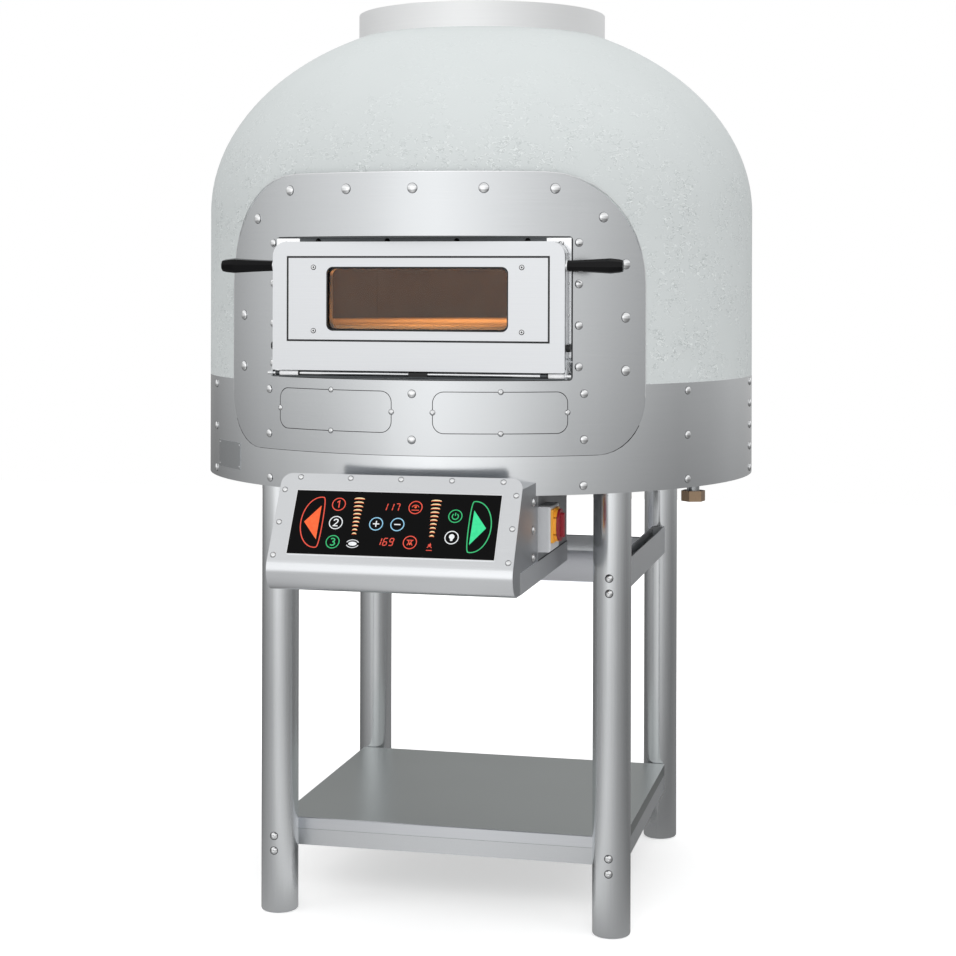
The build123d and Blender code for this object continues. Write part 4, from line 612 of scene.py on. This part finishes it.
# Cowl flanges: the bare cut edges of the sheet catch the light; a dark joint over the tray
cowlEdges = dict(front=-560.0, back=-408.4, foot=712.2, head=830.0, width=1.6, low=-1.4, high=0.2)
front, back, foot, head = (cowlEdges[end] for end in ("front", "back", "foot", "head"))
edgePath = [(front, foot), (back, foot), (back, head)]
seamPiece("cowlEdges", cowlEdges, [(sidewise(cowlSide, side), edgePath) for side in (-1, 1)], rivetSteel)
trayJoint = dict(front=-405.0, back=-120.0, z=711.4, width=1.6, low=-1.6, high=0.1)
trayPath = [(trayJoint[end], trayJoint["z"]) for end in ("front", "back")]
seamPiece("trayJoint", trayJoint, [(onCowl, trayPath)], softRubber)

# Hinge line: sleeves on the barrels, drawn in white plastic as a painted reflection of bright steel, each with a
# black ring at its inner end
hingeLine = dict(z=1043.8, y=-436.2, spans={-1: (-258.0, -222.5), 1: (240.5, 270.0)}, bore=3.4, radius=4.7, ring=2.6)
sleeveMesh, hingeRingMesh = bmesh.new(), bmesh.new()
for side, (low, high) in hingeLine["spans"].items():
    place = facing(low if side > 0 else high, hingeLine["y"], hingeLine["z"], (side, 0, 0))
    bore, radius, length = hingeLine["bore"], hingeLine["radius"], high - low
    sleeve = [(bore, 0.0), (radius - 0.3, 0.0), (radius, 0.4), (radius, length - 0.4), (radius - 0.3, length)]
    lathe(sleeveMesh, place, sleeve)
    lathe(hingeRingMesh, place, [(bore, -hingeLine["ring"]), (radius + 0.2, -hingeLine["ring"]), (radius + 0.2, 0.0)])
newPiece("hingeSleeves", sleeveMesh, paintedSleeveShine, "oven", True)
newPiece("hingeRings", hingeRingMesh, softRubber, "oven")

# Sloped lip of cast stone at the front of the throat's floor, seen through the foot of the window
throatLip = dict(half=204.0, y=-405.4, z=1123.9, up=(0.3, 0.95), out=(-0.95, 0.3), width=9.0, low=-2.0, high=0.0)
onThroat = crosswise(throatLip["y"], throatLip["z"], throatLip["up"], throatLip["out"])
lipPath = [(-throatLip["half"], 0.0), (throatLip["half"], 0.0)]
seamPiece("throatLip", throatLip, [(onThroat, lipPath)], castDeck)

# Bright stops at both ends of the slot over the door
slotStops = dict(inner=231.0, outer=270.0, z=1285.8, width=6.4, low=-39.0, high=-36.8)
stopRuns = [(onLeaf, [(side * slotStops[end], slotStops["z"]) for end in ("inner", "outer")]) for side in (-1, 1)]
seamPiece("slotStops", slotStops, stopRuns, rivetSteel)

# Domed rivets with a short rim, each at the place of its own solid: small on the band and beside the door
rivets = dict(large=9.0, small=7.2, rim=0.5, crown=0.46, bandTop=1030.0, besideDoor=(275.0, 292.0), sides=28)
rivetMesh, solidMesh = bmesh.new(), bmesh.new()
solidMesh.from_mesh(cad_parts["domed_rivets"].data)
bmesh.ops.remove_doubles(solidMesh, verts=solidMesh.verts, dist=1e-6)
solidMesh.verts.index_update()
waiting = set(solidMesh.verts)
while waiting:
    island, edge = set(), [min(waiting, key=lambda vert: vert.index)]
    while edge:
        vert = edge.pop()
        if vert not in island:
            island.add(vert)
            edge += [link.other_vert(vert) for link in vert.link_edges]
    waiting -= island
    middle = sum((vert.co for vert in sorted(island, key=lambda vert: vert.index)), Vector()) / len(island)
    out = Vector((middle.x, middle.y - axisY * mm, 0)).normalized()
    foot = min((vert.co - middle).dot(out) for vert in island)
    heights = [vert.co.z for vert in island]
    middle.z = (min(heights) + max(heights)) / 2
    inner, outer = rivets["besideDoor"]
    isSmall = middle.z < rivets["bandTop"] * mm or inner * mm < abs(middle.x) < outer * mm
    radius = rivets["small"] if isSmall else rivets["large"]
    place = Matrix.Translation(middle + out * foot) @ out.to_track_quat("Z", "Y").to_matrix().to_4x4()
    turns = [radians(10 * step) for step in range(9)]
    dome = [(radius * cos(turn), rivets["rim"] + rivets["crown"] * radius * sin(turn)) for turn in turns]
    lathe(rivetMesh, place, [(radius, -0.3), *dome], rivets["sides"])
    rimShade(place, radius - 0.4, radius + 0.55)
solidMesh.free()
rivetHeads = newPiece("rivetHeads", rivetMesh, rivetSteel, "oven", True)
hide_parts("domed_rivets")
# painted shade under every head
newPiece("headRimShade", rimShadeMesh, softRubber, "oven")

# Front lip of the shelf: its folded face is painted brighter than its top, as painted light and painted shade on one
# sheet, and its bend is broken to 45 degrees
shelfFace = dict(half=335.0, y=-192.7, z=154.0, width=20.6, low=-0.5, high=0.25)
shelfBend = dict(y=-192.5, z=164.8, up=(0.7, 0.7), out=(-0.7, 0.7), width=1.8, low=-0.6, high=0.3)
shelfMesh = bmesh.new()
for height, look, place in (
    (shelfFace["z"], shelfFace, crosswise(shelfFace["y"], 0.0)),
    (0.0, shelfBend, crosswise(shelfBend["y"], shelfBend["z"], shelfBend["up"], shelfBend["out"])),
):
    seam(shelfMesh, [(-shelfFace["half"], height), (shelfFace["half"], height)], look, place, False)
newPiece("shelfLip", shelfMesh, steel["lipSheetLit"], "oven")

# Bevel round the touch glass, drawn as a strip of bright steel: painted highlight
glassBevelHighlight = dict(half=184.3, foot=11.3, head=132.7, corner=1.0, steps=2, width=1.3, low=-0.4, high=1.9)
seamPiece("glassBevelHighlight", glassBevelHighlight, [(onControlFace, framePath(glassBevelHighlight))], rivetSteel, closed=True)

# Grips: turned phenolic with eight flats, swelling towards the end, and a turned steel ring at the root of each
grip = dict(
    y=axisY - 508.0,
    z=1239.0,
    flats=8,
    turned=10,  # degrees
    shape=(
        (9.67, 0.4), (9.98, 3), (10.71, 22), (11.75, 44), (12.9, 64),
        (13.73, 78), (13.52, 82), (12.06, 95), (10.61, 101), (8.94, 102),
    ),
    edge=0.45,
    ring=((10.6, 0.0), (10.6, 2.4), (10.0, 3.0), (9.0, 3.0)),
)
gripPlaces = [facing(side * leafSide, grip["y"], grip["z"], (side, 0, 0)) for side in (-1, 1)]
gripMesh = bmesh.new()
for place in gripPlaces:
    lathe(gripMesh, place @ Matrix.Rotation(radians(grip["turned"]), 4, "Z"), grip["shape"], grip["flats"])
bmesh.ops.recalc_face_normals(gripMesh, faces=gripMesh.faces)
bmesh.ops.bevel(
    gripMesh, geom=list(gripMesh.edges), offset=grip["edge"] * mm, segments=2, profile=0.5, affect="EDGES"
)
grips = newPiece("doorGrips", gripMesh, blackGrip, "door")
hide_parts("door_grips")

# Lock holes in the isolator's base, drawn as black patches: painted shade inside the holes
lockHoleShade = dict(front=-392.6, back=-385.6, heights=(787.0, 759.0), width=6.0, low=30.4, high=30.8)
lockRuns = [(onCowl, [(lockHoleShade[end], height) for end in ("front", "back")]) for height in lockHoleShade["heights"]]
seamPiece("lockHoleShade", lockHoleShade, lockRuns, blackCoat)

ringMesh = bmesh.new()
for place in gripPlaces:
    lathe(ringMesh, place, grip["ring"])
newPiece("gripRings", ringMesh, rivetSteel, "door", True)

# Bare data plate on the band, held by four pins: its lettering is left off
dataPlate = dict(
    left=-524.0, right=-413.0, foot=853.0, head=904.0, reach=550.0, back=0.05, thick=0.8, steps=14,
    pins=((-519.0, 858.0), (-519.0, 899.0), (-418.0, 858.0), (-418.0, 899.0)),
    pin=((1.6, 0.0), (1.4, 0.4), (0.7, 0.7)),
)
plateMesh = bmesh.new()
columns = []
for step in range(dataPlate["steps"] + 1):
    arc = dataPlate["left"] + (dataPlate["right"] - dataPlate["left"]) * step / dataPlate["steps"]
    column = []
    for out in (dataPlate["back"], dataPlate["thick"]):
        for height in (dataPlate["foot"], dataPlate["head"]):
            column.append(plateMesh.verts.new(onWall(arc, height, out, dataPlate["reach"]) * mm))
    columns.append(column)
for before, after in zip(columns, columns[1:]):
    for one, two in ((0, 1), (1, 3), (3, 2), (2, 0)):
        plateMesh.faces.new((before[one], before[two], after[two], after[one]))
plateMesh.faces.new([columns[0][corner] for corner in (0, 2, 3, 1)])
plateMesh.faces.new([columns[-1][corner] for corner in (0, 1, 3, 2)])
bmesh.ops.recalc_face_normals(plateMesh, faces=plateMesh.faces)
newPiece("dataPlate", plateMesh, steel["plateSheet"], "oven")
pinMesh = bmesh.new()
for arc, height in dataPlate["pins"]:
    lathe(pinMesh, offWall(arc, height, dataPlate["reach"] + dataPlate["thick"]), dataPlate["pin"], 12)
newPiece("platePins", pinMesh, rivetSteel, "oven", True)
print("stage: screws, rings and plate made")

# Symbols of the touch panel, drawn in millimetres from the middle of the glass
glassMiddle = dict(up=72.0, out=2.12, width=367.0, height=120.0)
symbolColours = {
    "Red": ("#D8473A", "#F0604E"),
    "Orange": ("#F25A30", "#FF7440"),
    "White": ("#DADDE0", "#F4F6F8"),
    "Green": ("#2FA866", "#44C981"),
    "Mint": ("#2FD08A", "#48E8A0"),
    "Blue": ("#7FB9DC", "#A6DAF2"),
    "Amber": ("#F6CC8C", "#FFEFC8"),
}
symbolMeshes = {name: bmesh.new() for name in symbolColours}


def onGlass(x, y):
    return onControlFace(x, glassMiddle["up"] + y, glassMiddle["out"]) * mm


def glassPoint(right, down):
    # shares of the glass's width and height
    return Vector(((right - 0.5) * glassMiddle["width"], (0.5 - down) * glassMiddle["height"]))


def ribbon(colour, points, width, closed=False):
    # a printed line of even width, mitred at its corners
    mesh = symbolMeshes[colour]
    count = len(points)
    left, right = [], []
    for index, point in enumerate(points):
        before = points[(index - 1) % count] if closed or index else point
        after = points[(index + 1) % count] if closed or index < count - 1 else point
        inward = (point - before).normalized() if point != before else (after - point).normalized()
        outward = (after - point).normalized() if after != point else inward
        middle = (inward + outward).normalized()
        normal = Vector((-middle.y, middle.x))
        reach = width / 2 / max(0.5, normal.dot(Vector((-inward.y, inward.x))))
        left.append(mesh.verts.new(onGlass(*(point + normal * reach))))
        right.append(mesh.verts.new(onGlass(*(point - normal * reach))))
    for index in range(count if closed else count - 1):
        after = (index + 1) % count
        mesh.faces.new((left[index], left[after], right[after], right[index]))


def fill(colour, points):
    mesh = symbolMeshes[colour]
    mesh.faces.new([mesh.verts.new(onGlass(*point)) for point in points])


def arcPoints(middle, wide, high, start, end, steps=28):
    turns = [radians(start + (end - start) * step / steps) for step in range(steps + 1)]
    return [middle + Vector((wide * cos(turn), high * sin(turn))) for turn in turns]


def shifted(middle, points):
    return [middle + Vector(point) for point in points]


# Start keys: an outline with one flattened side, and a triangle in it
arrowKeys = dict(reach=39.3, half=47.4, corner=8.0, flat=0.4, line=1.9)


def arrowKey(colour, inside, right, side, triangle):
    corner, half, reach = arrowKeys["corner"], arrowKeys["half"], arrowKeys["reach"] - arrowKeys["corner"]
    middle = Vector(((right - 0.5) * glassMiddle["width"] - side * corner, 0))
    turns = [radians(90 - 7.5 * step) for step in range(25)]
    curve = [(-side * reach * cos(turn), half * sin(turn)) for turn in turns]
    flat = [(side * corner * abs(cos(turn)) ** arrowKeys["flat"], half * sin(turn)) for turn in turns]
    ribbon(colour, shifted(middle, curve + flat[-2:0:-1]), arrowKeys["line"], True)
    fill(inside, [glassPoint(*point) for point in triangle])


arrowKey("Red", "Orange", 0.15, 1, [(0.059, 0.50), (0.132, 0.77), (0.132, 0.237)])
arrowKey("Green", "Mint", 0.86, -1, [(0.944, 0.517), (0.877, 0.244), (0.873, 0.78)])

# Round keys: each has a ring in its own colour
roundKeys = dict(radius=11.6, line=1.7, digitLine=2.1, signLine=2.0, sign=5.6)


def roundKey(colour, right, down):
    middle = glassPoint(right, down)
    circle = arcPoints(middle, roundKeys["radius"], roundKeys["radius"], 0, 360, 40)[:-1]
    ribbon(colour, circle, roundKeys["line"], True)
    return middle


digitStrokes = {
    "1": [[(-3.2, 3.6), (0.6, 6.4), (0.6, -6.4)]],
    "2": [[(-3.8, 3.4), (-2.6, 5.6), (0.2, 6.5), (3.0, 5.4), (3.7, 3.0), (2.4, 0.4), (-3.9, -6.0), (4.1, -6.0)]],
    "3": [
        [(-3.6, 5.2), (-1.0, 6.4), (2.2, 5.8), (3.3, 3.5), (2.3, 1.2), (-0.4, 0.4)],
        [(-0.4, 0.4), (2.8, -0.5), (3.9, -3.2), (2.4, -5.8), (-0.8, -6.5), (-3.9, -5.2)],
    ],
}
for digit, colour, down in (("1", "Red", 0.21), ("2", "White", 0.50), ("3", "Green", 0.80)):
    middle = roundKey(colour, 0.216, down)
    for stroke in digitStrokes[digit]:
        ribbon(colour, shifted(middle, stroke), roundKeys["digitLine"])

# Plus and minus keys
for right, upright in ((0.4135, True), (0.517, False)):
    middle = roundKey("Blue", right, 0.50)
    sign = roundKeys["sign"]
    ribbon("White", shifted(middle, [(-sign, 0), (sign, 0)]), roundKeys["signLine"])
    if upright:
        ribbon("White", shifted(middle, [(0, -sign), (0, sign)]), roundKeys["signLine"])

# Level columns: ten arched bars that narrow downwards, each with a darker rim under it
levelBars = dict(count=10, top=0.12, foot=0.67, wide=19.0, narrow=8.0, arch=3.0, hollow=0.9, rim=0.7)
for right in (0.314, 0.690):
    for index in range(levelBars["count"]):
        share = index / (levelBars["count"] - 1)
        middle = glassPoint(right, levelBars["top"] + (levelBars["foot"] - levelBars["top"]) * share)
        half = (levelBars["wide"] + (levelBars["narrow"] - levelBars["wide"]) * share) / 2
        upper = arcPoints(middle, half, levelBars["arch"], 0, 180, 14)
        lower = arcPoints(middle, half, levelBars["hollow"], 180, 0, 14)
        fill("Amber", upper + lower[1:-1])
        ribbon("Orange", [point - Vector((0, levelBars["rim"])) for point in reversed(lower)], levelBars["rim"])

# Seven-bar numbers
sevenBar = dict(width=6.4, height=13.0, lean=0.2, pitch=10.8, line=1.7, gap=0.5)
barsOn = {"1": "cf", "7": "acf", "6": "abdefg", "9": "abcdfg"}
barEnds = {
    "a": ((-1, 2), (1, 2)), "b": ((-1, 0), (-1, 2)), "c": ((1, 0), (1, 2)), "d": ((-1, 0), (1, 0)),
    "e": ((-1, -2), (-1, 0)), "f": ((1, -2), (1, 0)), "g": ((-1, -2), (1, -2)),
}
for text, place in (("117", (0.475, 0.23)), ("169", (0.471, 0.773))):
    for index, digit in enumerate(text):
        middle = glassPoint(*place) + Vector(((index - 1) * sevenBar["pitch"], 0))
        for bar in barsOn[digit]:
            ends = []
            for x, y in barEnds[bar]:
                point = Vector((x * sevenBar["width"] / 2, y * sevenBar["height"] / 4))
                ends.append(Vector((point.x + sevenBar["lean"] * point.y, point.y)))
            along = (ends[1] - ends[0]).normalized() * sevenBar["gap"]
            ribbon("Red", [middle + ends[0] + along, middle + ends[1] - along], sevenBar["line"])

# Heat keys: a little dome over its floor, and a flame under a floor
heatLine = 1.5
topHeat = roundKey("Red", 0.5925, 0.226)
deckHeat = roundKey("Red", 0.590, 0.771)
ribbon("Red", arcPoints(topHeat + Vector((0, -1.5)), 6.5, 6.0, 20, 160, 12), heatLine)
ribbon("Red", shifted(topHeat, [(-6.5, -5.0), (6.5, -5.0)]), heatLine)
fill("Orange", shifted(topHeat, [(-2.2, 0.2), (-0.8, 2.8), (0.2, 1.4), (1.4, 3.4), (2.4, 0.2), (0.0, -1.6)]))
ribbon("Red", shifted(deckHeat, [(-6.0, 4.2), (6.0, 4.2)]), heatLine)
for side in (-1, 1):
    ribbon("Red", shifted(deckHeat, [(side * 4.6, -5.4), (side * 1.5, 0.6), (side * 4.0, 4.0)]), heatLine)
fill("Orange", shifted(deckHeat, [(-1.8, -3.4), (-0.6, -0.6), (0.3, -2.0), (1.2, 0.2), (2.0, -3.4), (0.0, -5.0)]))

# Deck and flame marks under the columns
markLine = 1.3
deckMark = glassPoint(0.314, 0.82)
fill("White", arcPoints(deckMark, 7.6, 3.8, 0, 345, 23))
ribbon("White", arcPoints(deckMark, 11.0, 7.2, 20, 160, 16), markLine)
ribbon("White", arcPoints(deckMark, 11.0, 7.2, 200, 340, 16), markLine)
flameMark = glassPoint(0.686, 0.824)
flame = [(-3.0, 1.6), (-2.0, 4.6), (-0.6, 3.4), (0.8, 7.0), (2.6, 3.6), (2.8, 1.6), (0.0, 0.8)]
ribbon("Red", shifted(flameMark, [(-5.0, -7.0), (5.0, -7.0)]), markLine)
ribbon("Red", arcPoints(flameMark + Vector((0, -3.4)), 4.0, 3.6, 15, 165, 10), markLine)
fill("Red", shifted(flameMark, flame))

# Power key and lamp key
powerLine = 1.8
powerKey = roundKey("Green", 0.790, 0.343)
ribbon("Green", arcPoints(powerKey + Vector((0, -0.5)), 5.4, 5.4, 125, 415, 24), powerLine)
ribbon("Green", shifted(powerKey, [(0, 0.6), (0, 6.4)]), powerLine)
lampKey = roundKey("White", 0.786, 0.675)
fill("White", arcPoints(lampKey + Vector((0, 1.6)), 4.8, 4.8, 0, 345, 23))
fill("White", shifted(lampKey, [(-2.3, -2.0), (2.3, -2.0), (2.0, -6.0), (-2.0, -6.0)]))

for name, (low, high) in symbolColours.items():
    bmesh.ops.recalc_face_normals(symbolMeshes[name], faces=symbolMeshes[name].faces)
    newPiece("panel" + name + "Symbols", symbolMeshes[name], litSymbol("lit" + name, low, high), "oven")
print("stage: panel symbols made")


def areaLamp(name, place, size, power, colour="#FFFFFF"):
    data = bpy.data.lights.new(name, "AREA")
    data.shape = "RECTANGLE"
    data.size, data.size_y = size
    data.energy = power
    data.color = linear(colour)[:3]
    lamp = addToScene(name, data)
    lamp.location = place
    return lamp


# Glow of the burners on the deck behind the window, and on the lip of the throat
fireColour = "#FFB971"
deckGlow = dict(place=(0, axisY * mm, 1.46), size=(0.45, 0.45), power=1.87, colour=fireColour)
throatGlow = dict(place=(0, -0.396, 1.262), size=(0.3, 0.02), power=0.95, colour=fireColour)
deckLamp = areaLamp("deckGlow", **deckGlow)
deckLamp.data.shape = "DISK"
deckLamp.data.spread = radians(100)
throatLamp = areaLamp("throatGlow", **throatGlow)
throatLamp.visible_camera = throatLamp.visible_transmission = throatLamp.visible_glossy = False

# Studio: floor, world, soft lamps and a grey curtain that the steel mirrors
studio = dict(
    floorSize=14.0,
    lift=0.5,  # added for the camera only, so the floor meets the white backdrop
    farLift=0.8,
    fadeFrom=0.7,  # metres from the middle of the floor, where it starts to become white
    fadeTo=2.0,
    skyForLight=0.62,
    skyMirrored=0.5,
)
half = studio["floorSize"] / 2
floorMesh = bmesh.new()
floorMesh.faces.new([floorMesh.verts.new((x * half, y * half, 0)) for x, y in ((-1, -1), (1, -1), (1, 1), (-1, 1))])
floorMaterial, tree, shader, place = startMaterial("paintedStudioFloor", Roughness=0.9, Specular_IOR_Level=0.1)
shader.inputs["Emission Color"].default_value = (1, 1, 1, 1)
mottle = addNode(tree, "TexNoise", {"Scale": 4.0, "Detail": 2.0}).outputs[0]
dress(tree, shader, (mottle, "#EFEFEF", "#F3F3F3"))
away = addNode(tree, "VectorMath", {0: place}, operation="LENGTH").outputs["Value"]
reach = {"Value": away, "From Min": studio["fadeFrom"], "From Max": studio["fadeTo"]}
lift = {"To Min": studio["lift"], "To Max": studio["farLift"]}
fade = addNode(tree, "MapRange", {**reach, **lift}, interpolation_type="SMOOTHSTEP").outputs[0]
seen = addNode(tree, "LightPath").outputs["Is Camera Ray"]
lifted = addNode(tree, "Math", {0: seen, 1: fade}, operation="MULTIPLY").outputs[0]
tree.links.new(lifted, shader.inputs["Emission Strength"])
floor = addToScene("floor", newMesh("floor", floorMesh, floorMaterial))

world = bpy.data.worlds.new("whiteStudio")
bpy.context.scene.world = world
world.use_nodes = True
tree = world.node_tree
backdrop = tree.nodes["Background"]
backdrop.inputs["Color"].default_value = (1, 1, 1, 1)
rays = addNode(tree, "LightPath").outputs
glossy = {0: rays["Is Glossy Ray"], 1: studio["skyMirrored"]}
glossy = addNode(tree, "Math", glossy, operation="MULTIPLY").outputs[0]
shown = addNode(tree, "Math", {0: rays["Is Camera Ray"], 1: glossy}, operation="MAXIMUM").outputs[0]
shown = addNode(tree, "Math", {0: shown, 1: rays["Is Transmission Ray"]}, operation="MAXIMUM").outputs[0]
strength = addNode(tree, "MapRange", {"Value": shown, "To Min": studio["skyForLight"]}).outputs[0]
tree.links.new(strength, backdrop.inputs["Strength"])

# Soft lamps: place, the point they look at, size in metres, power in watts
softLamps = {
    "frontBox": ((1.0, -4.5, 3.4), (0, 0, 1.0), (2.6, 1.8), 60),
    "leftBox": ((-3.8, -2.4, 2.4), (0, 0, 1.0), (1.6, 2.4), 12),
    "rightBox": ((4.0, -1.6, 2.4), (0, 0, 1.0), (1.6, 2.4), 14),
    "topBox": ((0.0, -0.4, 4.6), (0, 0, 0), (3.0, 3.0), 40),
}
for name, (place, target, size, power) in softLamps.items():
    lamp = areaLamp(name, place, size, power)
    lamp.rotation_mode = "QUATERNION"
    lamp.rotation_quaternion = (Vector(target) - Vector(place)).to_track_quat("-Z", "Y")
    lamp.visible_camera = False
    lamp.visible_glossy = False  # the steel mirrors the curtain instead

# Cloth curtain that only the steel mirrors: brightest by the camera, grey towards the sides and the back
curtain = dict(
    profile=((300, 2), (4200, 2), (4400, 200), (4400, 3600)),
    strength=1.27,
    frontFoot=0.5, sideFoot=0.4,  # tone at the floor, as a share of the tone above it
    frontRise=0.6, sideRise=1.0,  # metres up to where the full tone is reached
    frontTo=0.05, sideFrom=0.14,  # shares of a turn from the door
    paleTone=0.9, paleShare=0.62, paleFrom=1.8, paleTo=2.4,  # the cloth is paler above the dome
    tones={
        -180: 0.38, -150: 0.27, -128: 0.26, -103: 0.37, -82: 0.50, -60: 0.62, -40: 0.72, -28: 0.80, -17: 0.93,
        -4: 1.0, 9: 0.90, 21: 0.80, 32: 0.70, 43: 0.62, 54: 0.57, 66: 0.48, 75: 0.43, 85: 0.38, 97: 0.34,
        115: 0.37, 134: 0.43, 155: 0.43, 171: 0.45, 180: 0.38,
    },  # angle round the dome from the door, and how bright the cloth is there
)
curtainMesh = bmesh.new()
lathe(curtainMesh, Matrix.Identity(4), curtain["profile"], 96, capped=False)
curtainMaterial, tree, shader, place = startMaterial("lightCurtain", Roughness=1.0, Specular_IOR_Level=0.0)
shader.inputs["Base Color"].default_value = (0, 0, 0, 1)
turned = addNode(tree, "Mapping", {"Vector": place, "Rotation": (0, 0, pi / 2)}).outputs[0]
angle = addNode(tree, "TexGradient", {"Vector": turned}, gradient_type="RADIAL").outputs["Fac"]
ramp = addNode(tree, "ValToRGB", {"Fac": angle})
stops = ramp.color_ramp.elements
for turn, tone in curtain["tones"].items():
    stop = stops[0] if turn == -180 else stops[-1] if turn == 180 else stops.new(turn / 360 + 0.5)
    stop.color = (tone, tone, tone, 1)
height = addNode(tree, "SeparateXYZ", {0: place}).outputs["Z"]
fromDoor = addNode(tree, "Math", {0: angle, 1: 0.5}, operation="SUBTRACT").outputs[0]
aside = addNode(tree, "Math", {0: fromDoor}, operation="ABSOLUTE").outputs[0]
turning = {"Value": aside, "From Min": curtain["frontTo"], "From Max": curtain["sideFrom"]}
footTo = {**turning, "To Min": curtain["frontFoot"], "To Max": curtain["sideFoot"]}
riseTo = {**turning, "To Min": curtain["frontRise"], "To Max": curtain["sideRise"]}
foot, rise = (addNode(tree, "MapRange", span).outputs[0] for span in (footTo, riseTo))
tone = addNode(tree, "MapRange", {"Value": height, "From Max": rise, "To Min": foot}).outputs[0]
power = addNode(tree, "Math", {0: tone, 1: curtain["strength"]}, operation="MULTIPLY").outputs[0]
upwards = {"Value": height, "From Min": curtain["paleFrom"], "From Max": curtain["paleTo"]}
pale = addNode(tree, "MapRange", {**upwards, "To Max": curtain["paleShare"]}).outputs[0]
paleColour = (*[curtain["paleTone"]] * 3, 1)
cloth = addNode(tree, "Mix", {"Factor": pale, 6: ramp.outputs["Color"], 7: paleColour}, data_type="RGBA").outputs[2]
tree.links.new(cloth, shader.inputs["Emission Color"])
tree.links.new(power, shader.inputs["Emission Strength"])
curtainPiece = addToScene("curtain", newMesh("curtain", curtainMesh, curtainMaterial))
curtainPiece.location = (0, axisY * mm, 0)
for ray in ("camera", "diffuse", "shadow", "transmission", "volume_scatter"):
    setattr(curtainPiece, "visible_" + ray, False)
print("stage: studio made")

# Camera, from the fit to the band, legs, door and rivets
cameraFit = dict(
    place=(0.9009, -3.8384, 1.2118),
    forward=(-0.2241, 0.9746, -0.0016),
    roll=0.15,
    focalPerFrame=2.0490,
    shift=(-0.0037, -0.2027),
    sensor=36.0,
)
cameraData = bpy.data.cameras.new("camera")
cameraData.sensor_width = cameraFit["sensor"]
cameraData.lens = cameraFit["sensor"] * cameraFit["focalPerFrame"]
cameraData.shift_x, cameraData.shift_y = cameraFit["shift"]
cameraData.clip_start, cameraData.clip_end = 0.1, 100.0
camera = addToScene("camera", cameraData)
camera.location = cameraFit["place"]
camera.rotation_mode = "QUATERNION"
aim = Vector(cameraFit["forward"]).to_track_quat("-Z", "Y")
camera.rotation_quaternion = aim @ Matrix.Rotation(radians(cameraFit["roll"]), 3, "Z").to_quaternion()
bpy.context.scene.camera = camera
bpy.context.scene.view_settings.view_transform = "Standard"
